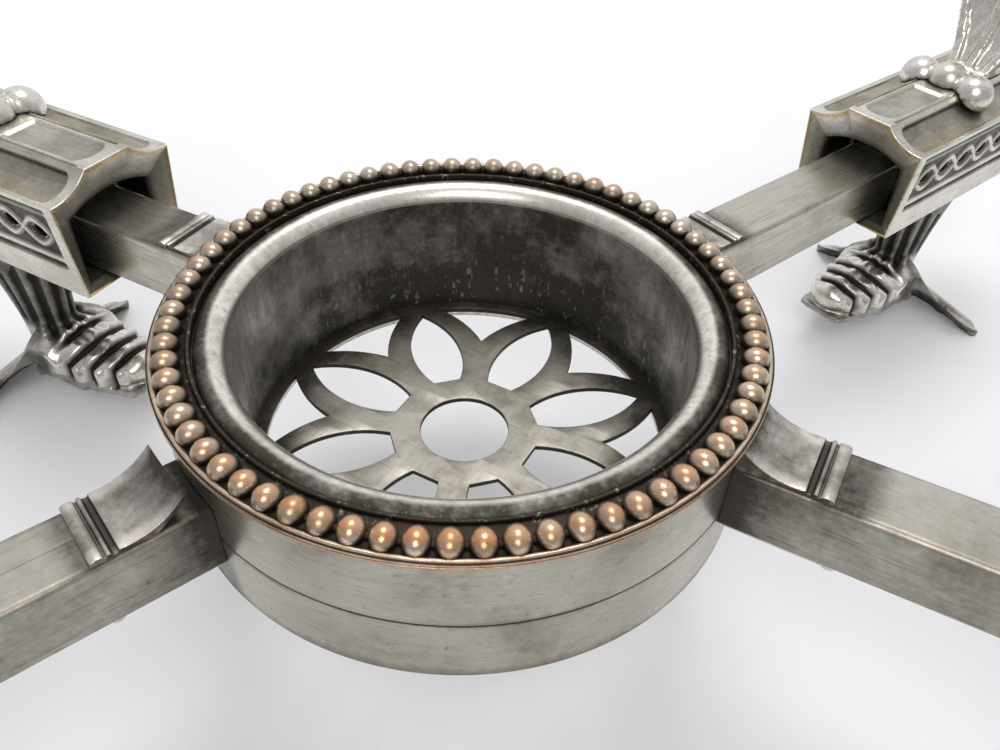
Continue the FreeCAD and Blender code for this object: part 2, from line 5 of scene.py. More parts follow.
import bmesh
import bpy
from mathutils import Matrix, Vector

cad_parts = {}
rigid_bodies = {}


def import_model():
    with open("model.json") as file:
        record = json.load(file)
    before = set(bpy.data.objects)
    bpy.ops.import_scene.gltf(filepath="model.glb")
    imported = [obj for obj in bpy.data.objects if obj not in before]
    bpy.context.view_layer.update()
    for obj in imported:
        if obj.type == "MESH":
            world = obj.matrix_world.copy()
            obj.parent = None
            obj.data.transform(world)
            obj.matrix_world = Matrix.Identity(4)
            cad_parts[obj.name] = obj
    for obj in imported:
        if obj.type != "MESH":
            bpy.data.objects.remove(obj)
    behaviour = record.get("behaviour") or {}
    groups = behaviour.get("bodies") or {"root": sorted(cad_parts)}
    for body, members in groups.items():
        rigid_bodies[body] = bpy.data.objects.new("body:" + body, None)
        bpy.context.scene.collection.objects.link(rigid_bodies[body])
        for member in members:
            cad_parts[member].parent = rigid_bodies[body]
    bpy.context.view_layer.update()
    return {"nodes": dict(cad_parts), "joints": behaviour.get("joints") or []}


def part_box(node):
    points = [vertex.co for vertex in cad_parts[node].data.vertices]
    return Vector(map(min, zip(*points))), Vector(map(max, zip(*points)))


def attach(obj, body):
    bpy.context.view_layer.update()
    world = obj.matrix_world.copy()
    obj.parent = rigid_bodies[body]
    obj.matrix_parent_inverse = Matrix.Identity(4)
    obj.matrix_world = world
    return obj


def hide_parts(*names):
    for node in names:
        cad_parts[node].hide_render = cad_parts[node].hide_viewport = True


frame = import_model()
random.seed(7)
print("frame loaded:", len(frame["nodes"]), "nodes")


# Sizes are in millimetres here and turned to metres where a vertex is made.

def at(x, y, z):
    return Vector((x, y, z)) / 1000


def nodeBox(node):
    low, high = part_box(node)
    return low * 1000, high * 1000


drum = {"bottom": nodeBox("lower_collar")[0].z, "seamLow": nodeBox("lower_collar")[1].z,
        "seamHigh": nodeBox("upper_collar")[0].z, "top": nodeBox("upper_collar")[1].z,
        "outerR": nodeBox("upper_collar")[1].x, "wall": 1.2, "wellR": 32.5, "linerR": 33.2}

# One entry for each arm: which way it points, where its slide stands and which body it belongs to.
arms = {}
for joint in frame["joints"]:
    if joint["type"] == "slide":
        armName = joint["child"].replace("slide_", "")
        direction = Vector(joint["axis"])
        sleeveVerts = frame["nodes"]["slide_sleeve_" + armName].data.vertices
        arms[armName] = {
            "turn": math.atan2(direction.y, direction.x),
            "slideStart": min(vert.co.dot(direction) for vert in sleeveVerts) * 1000,
            "top": nodeBox("arm_" + armName)[1].z,
            "body": joint["parent"],
            "slide": joint["child"],
            "isUpper": joint["parent"] == "root",
            "grainShift": at(0, 0, 170 * len(arms)),
            # painted shade on the side faces of the two front arms, standing in for the darker floor they
            # reflect
            "sideDirt": 0.32 if armName.endswith("front") else 0.0,
        }
armSize = {"width": 10.9, "height": 10.7, "endR": 162.0}
photoSide = math.radians(-63)  # where the camera stands, seen from the well


# Mesh helpers

def markSpots(bm, touchAt=None, shift=Vector()):
    # Keeps the place of each vertex before its piece is turned, for the grain of the metal,
    # and how dirty, how dark with painted shade and how worn through the plating is there.
    bm.normal_update()
    layers = bm.verts.layers.float_vector
    spots = layers.new("spot")
    touches = layers.get("touch") or layers.new("touch")
    for vert in bm.verts:
        vert[spots] = vert.co + shift
        if touchAt:
            vert[touches] = touchAt(vert.co * 1000, vert.normal)


def finishPiece(name, bm, material, body, replaced=(), smoothBelow=38):
    if "spot" not in bm.verts.layers.float_vector:
        markSpots(bm)
    mesh = bpy.data.meshes.new(name)
    bm.to_mesh(mesh)
    bm.free()
    mesh.materials.append(material)
    mesh.shade_smooth()
    mesh.set_sharp_from_angle(angle=math.radians(smoothBelow))
    piece = bpy.data.objects.new(name, mesh)
    bpy.context.scene.collection.objects.link(piece)
    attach(piece, body)
    if replaced:
        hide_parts(*replaced)
    return piece


def ramp(value, start, width):
    part = min(1.0, max(0.0, (value - start) / width))
    return part * part * (3 - 2 * part)


def between(value, low, high, soft):
    return ramp(value, low, soft) * (1 - ramp(value, high - soft, soft))


def roundCorners(points, radius, steps=3):  # a closed outline with every corner eased
    eased = []
    for index, corner in enumerate(points):
        corner = Vector(corner)
        before, after = Vector(points[index - 1]), Vector(points[(index + 1) % len(points)])
        reach = min(radius, (before - corner).length / 2.2, (after - corner).length / 2.2)
        first = corner + (before - corner).normalized() * reach
        last = corner + (after - corner).normalized() * reach
        for step in range(steps + 1):
            part = step / steps
            eased.append(first.lerp(corner, part).lerp(corner.lerp(last, part), part))
    return eased


def arcPoints(centre, radii, start, end, steps):  # degrees, on an ellipse
    points = []
    for step in range(steps + 1):
        turn = math.radians(start + (end - start) * step / steps)
        points.append((centre[0] + radii[0] * math.cos(turn), centre[1] + radii[1] * math.sin(turn)))
    return points


def polar(radius, turn):
    return Vector((radius * math.cos(turn), radius * math.sin(turn)))


def throughThree(first, middle, last, steps=14):  # points on the circle through three places
    first, middle, last = Vector(first), Vector(middle), Vector(last)
    a, b = middle - first, last - first
    twist = 2 * (a.x * b.y - a.y * b.x)
    centre = first + Vector((b.y * a.length_squared - a.y * b.length_squared,
                             a.x * b.length_squared - b.x * a.length_squared)) / twist
    start = math.atan2(first.y - centre.y, first.x - centre.x)
    sweep = (math.atan2(last.y - centre.y, last.x - centre.x) - start) % math.tau
    half = (math.atan2(middle.y - centre.y, middle.x - centre.x) - start) % math.tau
    if half > sweep:
        sweep -= math.tau
    radius = (first - centre).length
    return [centre + polar(radius, start + sweep * step / steps) for step in range(steps + 1)]


def throughAll(points, steps=5):  # a smooth line through all the points
    ends = [points[0], *points, points[-1]]
    line = []
    for a, b, c, d in zip(ends, ends[1:], ends[2:], ends[3:]):
        a, b, c, d = Vector(a), Vector(b), Vector(c), Vector(d)
        for step in range(steps):
            t = step / steps
            line.append(((2 * b) + (c - a) * t + (2 * a - 5 * b + 4 * c - d) * t * t
                         + (3 * b - a - 3 * c + d) * t ** 3) / 2)
    return line + [Vector(points[-1])]


def loopOf(bm, positions):
    verts = [bm.verts.new(position) for position in positions]
    edges = [bm.edges.new(pair) for pair in zip(verts, verts[1:] + verts[:1])]
    return verts, edges


def lathe(bm, outline, steps=240):  # outline is a closed list of radius and height
    verts, edges = loopOf(bm, [at(radius, 0, height) for radius, height in outline])
    bmesh.ops.spin(bm, geom=verts + edges, cent=(0, 0, 0), axis=(0, 0, 1), dvec=(0, 0, 0),
                   angle=math.tau, steps=steps, use_merge=True, use_duplicate=False)
    bmesh.ops.remove_doubles(bm, verts=bm.verts, dist=1e-6)
    bmesh.ops.recalc_face_normals(bm, faces=bm.faces)


def prism(bm, outline, halfWidth):  # outline is along and up, run across the arm
    verts = [bm.verts.new(at(along, -halfWidth, height)) for along, height in outline]
    face = bm.faces.new(verts)
    grown = bmesh.ops.extrude_face_region(bm, geom=[face])
    moved = [item for item in grown["geom"] if isinstance(item, bmesh.types.BMVert)]
    bmesh.ops.translate(bm, verts=moved, vec=at(0, 2 * halfWidth, 0))
    bmesh.ops.recalc_face_normals(bm, faces=bm.faces)


def cutThrough(bm, place, normal):  # new edges where a plane crosses the mesh
    geom = bm.verts[:] + bm.edges[:] + bm.faces[:]
    bmesh.ops.bisect_plane(bm, geom=geom, plane_co=place, plane_no=normal)


def cutAcross(bm, halfWidth, cuts):  # extra edges, so that a flat end can follow the round drum
    for index in range(1, cuts):
        cutThrough(bm, at(0, halfWidth * (2 * index / cuts - 1), 0), (0, 1, 0))


def bevelSharp(bm, width, above=30, segments=2):
    sharp = [edge for edge in bm.edges
             if edge.is_manifold and edge.calc_face_angle() > math.radians(above)]
    bmesh.ops.bevel(bm, geom=sharp, offset=width / 1000, offset_type="OFFSET", segments=segments,
                    profile=0.5, affect="EDGES", clamp_overlap=True, material=-1)


def onArm(bm, arm, along=0.0, up=0.0):  # from a frame along +X to the arm's own place
    bmesh.ops.translate(bm, verts=bm.verts, vec=at(along, 0, up))
    bmesh.ops.rotate(bm, verts=bm.verts, cent=(0, 0, 0), matrix=Matrix.Rotation(arm["turn"], 3, "Z"))


def copyOf(node, arm):  # the node's own mesh, along +X with the sleeve's inner end at zero
    bm = bmesh.new()
    bm.from_mesh(frame["nodes"][node].data)
    bmesh.ops.remove_doubles(bm, verts=bm.verts, dist=1e-6)
    bmesh.ops.rotate(bm, verts=bm.verts, cent=(0, 0, 0), matrix=Matrix.Rotation(-arm["turn"], 3, "Z"))
    bmesh.ops.translate(bm, verts=bm.verts, vec=at(-arm["slideStart"], 0, 0))
    bmesh.ops.recalc_face_normals(bm, faces=bm.faces)
    return bm


def modified(bm, steps):  # the mesh after a few modifiers, each a type and its settings
    mesh = bpy.data.meshes.new("draft")
    bm.to_mesh(mesh)
    bm.free()
    draft = bpy.data.objects.new("draft", mesh)
    bpy.context.scene.collection.objects.link(draft)
    for kind, settings in steps:
        modifier = draft.modifiers.new(kind.lower(), kind)
        for name, value in settings.items():
            setattr(modifier, name, value)
    made = bmesh.new()
    made.from_mesh(draft.evaluated_get(bpy.context.evaluated_depsgraph_get()).data)
    bpy.data.objects.remove(draft)
    bpy.data.meshes.remove(mesh)
    return made


# Materials

def hexColour(code):
    channels = [int(code[place:place + 2], 16) / 255 for place in (1, 3, 5)]
    linear = [c / 12.92 if c <= 0.04045 else ((c + 0.055) / 1.055) ** 2.4 for c in channels]
    return (*linear, 1.0)


def addNode(tree, kind, sockets=None, **settings):
    made = tree.nodes.new(kind)
    for name, value in settings.items():
        setattr(made, name, value)
    for socket, value in (sockets or {}).items():
        if isinstance(value, bpy.types.NodeSocket):
            tree.links.new(value, made.inputs[socket])
        else:
            made.inputs[socket].default_value = value
    return made


def newMaterial(name, slot):
    material = bpy.data.materials.new(name)
    material.use_nodes = True
    material.node_tree.nodes.clear()
    material["slot"] = slot
    return material, material.node_tree


def platedMetal(name, slot, look):
    material, tree = newMaterial(name, slot)
    spot = addNode(tree, "ShaderNodeAttribute", attribute_name="spot").outputs["Vector"]
    touch = addNode(tree, "ShaderNodeAttribute", attribute_name="touch").outputs["Vector"]
    touch = addNode(tree, "ShaderNodeSeparateXYZ", {"Vector": touch}).outputs

    # Clouds of tarnish, small spots, the grain of the finish and stray scratches
    stain = addNode(tree, "ShaderNodeTexNoise", {
        "Vector": spot, "Scale": 1000 / look["stainMm"], "Detail": 7.0, "Roughness": 0.62}).outputs["Fac"]
    speck = addNode(tree, "ShaderNodeTexNoise", {
        "Vector": spot, "Scale": 1000 / look["speckMm"], "Detail": 4.0, "Roughness": 0.7}).outputs["Fac"]
    along = addNode(tree, "ShaderNodeMapping", {"Vector": spot, "Scale": look["grain"]}).outputs[0]
    grain = addNode(tree, "ShaderNodeTexNoise", {
        "Vector": along, "Scale": 1000 / look["grainMm"], "Detail": 4.0, "Roughness": 0.65}).outputs["Fac"]
    slanted = addNode(tree, "ShaderNodeMapping", {
        "Vector": spot, "Rotation": (0.5, 0.35, 0.75), "Scale": (0.05, 1.0, 1.0)}).outputs[0]
    scratch = addNode(tree, "ShaderNodeTexNoise", {
        "Vector": slanted, "Scale": 1000 / look["scratchMm"], "Detail": 2.0}).outputs["Fac"]
    scratch = addNode(tree, "ShaderNodeMapRange", {
        "Value": scratch, "From Min": 0.62, "From Max": 0.68}).outputs[0]

    # Hollows hold grime, edges lose their plating
    shade = addNode(tree, "ShaderNodeAmbientOcclusion", {
        "Distance": look["cavityMm"] / 1000}, samples=12).outputs["AO"]
    low, high = look["cavityRange"]
    hollow = addNode(tree, "ShaderNodeMapRange", {
        "Value": shade, "From Min": low, "From Max": high, "To Min": 1.0, "To Max": 0.0}).outputs[0]
    inside = addNode(tree, "ShaderNodeAmbientOcclusion", {
        "Distance": look["edgeMm"] / 1000}, samples=12, inside=True, only_local=True).outputs["AO"]
    low, high = look["edgeRange"]
    edge = addNode(tree, "ShaderNodeMapRange", {
        "Value": inside, "From Min": low, "From Max": high, "To Min": 1.0, "To Max": 0.0}).outputs[0]

    # Dirt and painted shade spread unevenly from the places that are marked for them
    uneven = addNode(tree, "ShaderNodeMath", {
        0: stain, 1: look["dirtUneven"], 2: touch["X"]}, operation="MULTIPLY_ADD").outputs[0]
    uneven = addNode(tree, "ShaderNodeMath", {
        0: speck, 1: look["dirtUneven"] / 2, 2: uneven}, operation="MULTIPLY_ADD").outputs[0]
    middle = 0.5 + 0.75 * look["dirtUneven"]
    dirtAndShade = addNode(tree, "ShaderNodeMapRange", {
        "Value": uneven, "From Min": middle - 0.45, "From Max": middle + 0.45}).outputs[0]
    dirtAndShade = addNode(tree, "ShaderNodeMath", {0: dirtAndShade, 1: hollow}, operation="MAXIMUM").outputs[0]
    dirtAndShade = addNode(tree, "ShaderNodeMath", {
        0: dirtAndShade, 1: look["cavityAmount"]}, operation="MULTIPLY").outputs[0]

    # So does wear, and pale residue stays in spots and streaks
    worn = addNode(tree, "ShaderNodeMath", {
        0: edge, 1: look["edgeAmount"], 2: touch["Y"]}, operation="MULTIPLY_ADD").outputs[0]
    patchy = addNode(tree, "ShaderNodeMapRange", {
        "Value": speck, "From Min": 0.35, "From Max": 0.62, "To Min": 0.45, "To Max": 1.15}).outputs[0]
    worn = addNode(tree, "ShaderNodeMath", {
        0: worn, 1: patchy}, operation="MULTIPLY", use_clamp=True).outputs[0]
    pale = addNode(tree, "ShaderNodeMath", {0: speck, 1: grain}, operation="ADD").outputs[0]
    pale = addNode(tree, "ShaderNodeMapRange", {
        "Value": pale, "From Min": 1.12, "From Max": 1.24, "To Max": 0.75}).outputs[0]
    pale = addNode(tree, "ShaderNodeMath", {0: pale, 1: touch["Z"]}, operation="MULTIPLY").outputs[0]

    low, high = look["stainRange"]
    stains = addNode(tree, "ShaderNodeMapRange", {
        "Value": stain, "From Min": low, "From Max": high, "To Max": look["stainAmount"]}).outputs[0]
    low, high = look["speckRange"]
    specks = addNode(tree, "ShaderNodeMapRange", {
        "Value": speck, "From Min": low, "From Max": high, "To Max": look["speckAmount"]}).outputs[0]
    grains = addNode(tree, "ShaderNodeMapRange", {
        "Value": grain, "From Min": 0.35, "From Max": 0.65, "To Max": look["grainAmount"]}).outputs[0]
    lines = addNode(tree, "ShaderNodeMath", {
        0: scratch, 1: look["scratchAmount"]}, operation="MULTIPLY").outputs[0]

    colour = hexColour(look["clean"])
    # The dark layer paints real grime and also the painted shade carried by the marks
    layers = ((stains, "stain"), (grains, "stain"), (lines, "scratch"), (worn, "edge"),
              (specks, "speck"), (dirtAndShade, "grime"), (pale, "residue"))
    for factor, tint in layers:
        colour = addNode(tree, "ShaderNodeMix", {
            0: factor, 6: colour, 7: hexColour(look[tint])}, data_type="RGBA").outputs[2]

    low, high = look["roughness"]
    rough = addNode(tree, "ShaderNodeMapRange", {
        "Value": grain, "From Min": 0.3, "From Max": 0.7, "To Min": low, "To Max": high}).outputs[0]
    for factor, more in ((dirtAndShade, 0.22), (stains, 0.10)):  # tarnish dulls the metal
        rough = addNode(tree, "ShaderNodeMath", {
            0: factor, 1: more, 2: rough}, operation="MULTIPLY_ADD").outputs[0]
    metallic = addNode(tree, "ShaderNodeMapRange", {
        "Value": dirtAndShade, "To Min": 0.96, "To Max": 0.78}).outputs[0]
    height = addNode(tree, "ShaderNodeMath", {
        0: scratch, 1: -0.5, 2: grain}, operation="MULTIPLY_ADD").outputs[0]
    height = addNode(tree, "ShaderNodeMath", {
        0: speck, 1: 1.5, 2: height}, operation="MULTIPLY_ADD").outputs[0]
    bump = addNode(tree, "ShaderNodeBump", {
        "Strength": 1.0, "Distance": look["bumpMm"] / 1000, "Height": height}).outputs[0]
    shader = addNode(tree, "ShaderNodeBsdfPrincipled", {
        "Base Color": colour, "Roughness": rough, "Metallic": metallic, "Normal": bump})
    addNode(tree, "ShaderNodeOutputMaterial", {"Surface": shader.outputs[0]})
    return material


plainLook = {
    "clean": "#e2e0d8", "stain": "#aaa597", "stainMm": 20, "stainRange": (0.42, 0.72), "stainAmount": 0.5,
    "speck": "#4c463b", "speckMm": 1.4, "speckRange": (0.66, 0.74), "speckAmount": 0.5,
    "grain": (1.0, 1.0, 1.0), "grainMm": 0.6, "grainAmount": 0.25,
    "scratch": "#6f675c", "scratchMm": 0.55, "scratchAmount": 0.3,
    "grime": "#1f1b14", "dirtUneven": 1.1, "cavityMm": 2.5, "cavityRange": (0.15, 0.62), "cavityAmount": 0.92,
    "edge": "#b98a66", "edgeMm": 0.45, "edgeRange": (0.45, 0.8), "edgeAmount": 0.3,
    "residue": "#a9aa9a", "roughness": (0.22, 0.36), "bumpMm": 0.012}

# Old plate on the turned drum: soft grey with level hair lines and brown in the corners, with painted shade
# under the flange and beside the arms.
burnishedPlate = platedMetal("burnishedPlate", "silver_plate", {
    **plainLook, "grain": (0.10, 0.10, 2.0), "clean": "#b8b5aa", "stain": "#888371", "stainMm": 18,
    "stainAmount": 0.6})
# The same plate drawn into tube: the grain runs along the arm and copper shows on its edges.
armPlate = platedMetal("drawnArmPlate", "silver_plate", {
    **plainLook, "clean": "#c2bfb4", "stain": "#928d7d", "grain": (0.06, 1.6, 1.6), "grainAmount": 0.35,
    "edge": "#9c6650", "edgeAmount": 0.35, "scratchAmount": 0.4, "speckAmount": 0.35})
# Cast and filed brackets: brighter, mottled, dark along their lines.
bracketPlate = platedMetal("filedBracketPlate", "silver_plate", {
    **plainLook, "grain": (1.0, 0.15, 1.0), "clean": "#e6e4dc", "stainMm": 7, "stainAmount": 0.6,
    "cavityMm": 1.2, "cavityRange": (0.30, 0.85), "edge": "#c08a62", "edgeAmount": 0.4,
    "roughness": (0.20, 0.32)})
# The plate where a lamp has burned: brown black, with dull upright streaks.
smokedPlate = platedMetal("smokedPlate", "tarnished_plate", {
    **plainLook, "clean": "#e9e6de", "stain": "#8f856f", "stainMm": 9, "stainRange": (0.42, 0.66),
    "stainAmount": 0.35, "speckAmount": 0.3, "grain": (1.0, 1.0, 0.10), "grainMm": 1.0, "grainAmount": 0.4,
    "cavityMm": 2.0, "cavityRange": (0.05, 0.5), "cavityAmount": 0.94, "grime": "#2b261b", "dirtUneven": 1.0,
    "edge": "#7d5a48", "edgeAmount": 0.0, "roughness": (0.24, 0.38)})
# Sheet sawn by hand into the rosette, darker towards the wall.
rosettePlate = platedMetal("sawnRosettePlate", "tarnished_plate", {
    **plainLook, "clean": "#b0aba0", "stain": "#827c6d", "stainMm": 7, "stainAmount": 0.6,
    "grain": (1.0, 0.12, 1.0), "cavityMm": 2.0, "cavityRange": (0.1, 0.5), "edgeAmount": 0.0,
    "roughness": (0.30, 0.44)})
# Beading worn through to the copper where hands and cloths rub it.
wornBeading = platedMetal("wornBeading", "worn_beading", {
    **plainLook, "clean": "#d0cabc", "stain": "#9c8a70", "stainMm": 5, "stainAmount": 0.7, "cavityMm": 1.3,
    "cavityRange": (0.2, 0.8), "cavityAmount": 0.96, "grime": "#241a10", "dirtUneven": 0.7,
    "edge": "#d8955c", "edgeAmount": 0.1, "edgeMm": 0.4, "roughness": (0.20, 0.30)})
# Cast and chased relief: bright ridges, black hollows, brass showing at the rims.
castPlate = platedMetal("castPlate", "cast_plate", {
    **plainLook, "clean": "#dbd9cf", "stain": "#918a76", "stainMm": 12, "stainAmount": 0.6, "cavityMm": 1.8,
    "cavityRange": (0.30, 0.85), "speckAmount": 0.2, "dirtUneven": 0.5, "cavityAmount": 0.97,
    "grime": "#1b170f", "edge": "#c2a162", "edgeAmount": 0.4, "edgeMm": 0.5, "roughness": (0.20, 0.32)})
# The leg, foot and leaf, with deeper hollows than the sleeve.
leafPlate = platedMetal("castLeafPlate", "cast_plate", {
    **plainLook, "clean": "#e8e5dc", "stain": "#9d9587", "stainMm": 8, "cavityMm": 3.0,
    "cavityRange": (0.30, 0.8), "speckAmount": 0.2, "dirtUneven": 0.6, "cavityAmount": 0.98,
    "grime": "#15120d", "edge": "#b9845c", "edgeAmount": 0.35, "edgeMm": 0.5, "roughness": (0.17, 0.30)})
print("materials made")


# Well, beaded border and drum

# Radius and height over the drum's top, from the straight wall over the broad lip and back down outside.
well = {"lip": [(32.5, -2.2), (32.5, -1.1), (32.62, -0.45), (33.1, 0.3), (33.9, 0.95), (34.8, 1.25),
                (35.6, 1.2), (36.25, 0.85), (36.7, 0.35), (36.82, 0.03)],
        "under": [(35.3, 0.02), (33.9, -0.3), (33.2, -2.0)], "bottom": nodeBox("well_liner")[0].z}


def wellTouch(place, normal):
    radius = math.hypot(place.x, place.y)
    below = drum["top"] - place.z
    turn = math.atan2(place.y, place.x) - photoSide
    if below < 1.0:
        # The lip's outer half is painted dark: purple-brown tarnish and a painted dark reflection.
        outer = ramp(radius, 34.1, 1.2)
        return (1.2 * outer - 0.3, 0.15 * outer, 0.5 * ramp(radius, 35.2, 1.2))
    # The wall is painted darker towards the back and lighter at the sides: tarnish and painted shade from its
    # inner reflections; darker towards the bottom.
    back = 0.5 - 0.5 * math.cos(turn)
    sideways = abs(math.sin(turn))
    lower = ramp(below, 9, 10)
    return (0.58 + 0.3 * back - 0.2 * sideways * sideways + 0.25 * lower, 0.0, 0.3 + 0.7 * lower)


def makeLampWell():
    top = drum["top"]
    lip = throughAll([(radius, top + height) for radius, height in well["lip"]], 4)
    wall = [(drum["wellR"], well["bottom"] + step * (lip[0].y - well["bottom"]) / 12) for step in range(12)]
    under = [(radius, top + height) for radius, height in well["under"]]
    outline = [*wall, *lip, *under, (drum["linerR"], well["bottom"])]
    bm = bmesh.new()
    lathe(bm, outline, 280)
    markSpots(bm, wellTouch)
    finishPiece("lampWell", bm, smokedPlate, "root", ["well_liner"])


beading = {"circleR": 40.0, "count": 70, "radius": 1.7, "height": 56.0, "flange": 0.9, "edgeR": 42.6,
           "lineR": 37.4, "lineWide": 0.5, "lineRise": 0.7, "wireR": 0.5, "stretch": 1.14}


def beadingTouch(place, normal):
    radius = math.hypot(place.x, place.y)
    turn = math.atan2(place.y, place.x)
    up = place.z - drum["top"]
    front = 0.5 + 0.5 * math.cos(turn - photoSide)
    if radius > 41.7:  # the turned rim, copper on its lower line and black in its grooves
        groove = max(between(up, 0.24, 0.46, 0.06), between(up, 0.68, 0.84, 0.05) * ramp(radius, 42.1, 0.1))
        return (0.12 + groove, (0.75 if up < 0.26 else 0.3) * (0.3 + 0.7 * front), 0.0)
    # The flange between the beads is painted dark: tarnish round the bead bases and painted shade between
    # them.
    if up < 1.45 and radius > 38.0:
        return (1.25 - 0.9 * ramp(radius, 41.3, 0.4), 0.1, 0.1)
    if up < 1.7 and radius < 38.2:
        return (1.05, 0.0, 0.9)
    # Each bead's lower half and inner side are painted dark: painted shade standing in for the dark
    # reflections there; beads towards the left are a little darker.
    rise = ramp(up, 0.95, 1.35)
    crown = ramp(up, 1.9, 0.7)
    patch = 0.5 + 0.5 * math.sin(7 * turn) * math.sin(3 * turn + 1)
    inward = 0.5 * (1 - ramp(radius, 38.0, 1.5))
    left = 0.5 + 0.5 * math.cos(turn - photoSide + math.radians(100))
    wear = crown * (0.08 + 0.25 * patch) + (0.22 + 0.3 * crown) * front * front
    return (1 - rise + inward + 0.12 * left, wear, 0.0)


def makeBeadedBorder():
    low = drum["top"]
    floor = low + beading["flange"]
    lineR, lineTop = beading["lineR"], floor + beading["lineRise"]
    inner = lineR - beading["lineWide"]
    edge = beading["edgeR"]
    outline = [(inner, low), (inner, lineTop), (lineR, lineTop), (lineR + 0.1, floor), (38.6, floor - 0.25),
               (41.5, floor - 0.25), (edge - 0.85, floor + 0.12), (edge - 0.4, floor + 0.12),
               (edge - 0.3, floor - 0.14), (edge - 0.06, floor - 0.18), (edge, floor - 0.42),
               (edge - 0.16, floor - 0.5), (edge - 0.16, floor - 0.6), (edge, low + 0.22), (edge - 0.05, low)]
    bm = bmesh.new()
    lathe(bm, roundCorners(outline, 0.22), 280)
    ringR = beading["circleR"]
    lathe(bm, arcPoints((ringR, floor), (beading["wireR"], beading["wireR"]), 0, 330, 11), 280)
    draft = bpy.data.meshes.new("bead")
    for index in range(beading["count"]):
        turn = math.tau * index / beading["count"]
        size = beading["radius"] * random.uniform(0.96, 1.0)
        spot = Matrix.Rotation(turn, 4, "Z") @ Matrix.Translation(at(ringR, 0, beading["height"]))
        shape = Matrix.Diagonal((size * beading["stretch"] / 1000, size / 1000, size / 1000, 1))
        ball = bmesh.new()
        bmesh.ops.create_uvsphere(ball, u_segments=22, v_segments=14, radius=1, matrix=spot @ shape)
        ball.to_mesh(draft)
        ball.free()
        bm.from_mesh(draft)
    bpy.data.meshes.remove(draft)
    markSpots(bm, beadingTouch)
    finishPiece("beadedBorder", bm, wornBeading, "root", ["beaded_border"])


def collarTouch(place, normal):
    radius = math.hypot(place.x, place.y)
    if normal.z > 0.5 and radius < 39:
        return (0.95, 0.0, 0.9)
    # Darker just under the top edge: painted shadow of the beaded flange.
    nearTop = 1 - ramp(drum["top"] - place.z, 0.2, 1.6)
    nearBottom = 1 - ramp(place.z - drum["bottom"], 0.1, 1.3)
    nearSeam = 1 - ramp(abs(place.z - drum["seamLow"] - 0.15), 0.1, 0.6)
    # Darker beside each arm's root: painted shade and reflection of the arm.
    turn = math.atan2(place.y, place.x)
    nearArm = 0.0
    for arm in arms.values():
        if arm["isUpper"] == (place.z > drum["seamLow"] + 0.1):
            gap = abs(math.remainder(turn - arm["turn"], math.tau)) * radius
            nearArm = max(nearArm, 1 - ramp(gap, 5.0, 4.5))
    return (0.35 * nearTop + 0.45 * nearBottom + 0.3 * nearSeam + 0.6 * nearArm, 0.2 * nearBottom, 0.0)


def makeCollars():
    wall, outer = drum["wall"], drum["outerR"]
    upperBore, lowerBore = drum["linerR"] + 0.05, drum["linerR"] + 0.25
    low, high = drum["seamHigh"], drum["top"]
    upper = [(upperBore, low), (upperBore + wall, low), (upperBore + wall, high - 6.5), (36.2, high - 6.0),
             (outer - wall, high - 6.0), (outer - wall, low), (outer, low), (outer, high),
             (35.6, high - 0.05), (upperBore + 0.1, high - 5.2)]
    low, high = drum["bottom"], drum["seamLow"]
    lower = [(lowerBore, high), (lowerBore, low), (outer, low), (outer, high), (outer - wall, high),
             (outer - wall, low + wall), (lowerBore + wall, low + wall), (lowerBore + wall, high)]
    for name, node, outline, body in (("upperCollar", "upper_collar", upper, "root"),
                                      ("lowerCollar", "lower_collar", lower, "lower_cross")):
        bm = bmesh.new()
        lathe(bm, roundCorners(outline, 0.18, 2), 280)
        for level in range(1, 12):
            cutThrough(bm, at(0, 0, drum["bottom"] + level * 1.95), (0, 0, 1))
        markSpots(bm, collarTouch)
        finishPiece(name, bm, burnishedPlate, body, [node])


def makeRetainingRing():
    low, high = nodeBox("retaining_ring")
    inner = drum["wellR"] - 1.8
    outline = [(inner, low.z), (high.x, low.z), (high.x, high.z), (inner, high.z)]
    bm = bmesh.new()
    lathe(bm, roundCorners(outline, 0.2, 2))
    finishPiece("retainingRing", bm, smokedPlate, "root", ["retaining_ring"])


# Pierced rosette, sawn from sheet

rosette = {"petals": 8, "hubR": 6.9, "rootR": 11.4, "rootHalf": 2.2, "wideR": 20.0, "wideHalf": 4.1,
           "tipR": 29.6, "forkR": 21.6, "bulgeR": 25.8, "bulgeHalf": 6.5, "endHalf": 3.4, "rim": 1.8,
           "edge": 0.12}


def rosetteTouch(place, normal):
    radius = math.hypot(place.x, place.y)
    side = abs(math.sin(math.atan2(place.y, place.x) - photoSide))
    if abs(normal.z) < 0.5:
        return (1.1, 0.0, 0.0)
    return (0.1 + 0.95 * ramp(radius, 19, 11) * (0.6 + 0.4 * side), 0.0, 0.15)


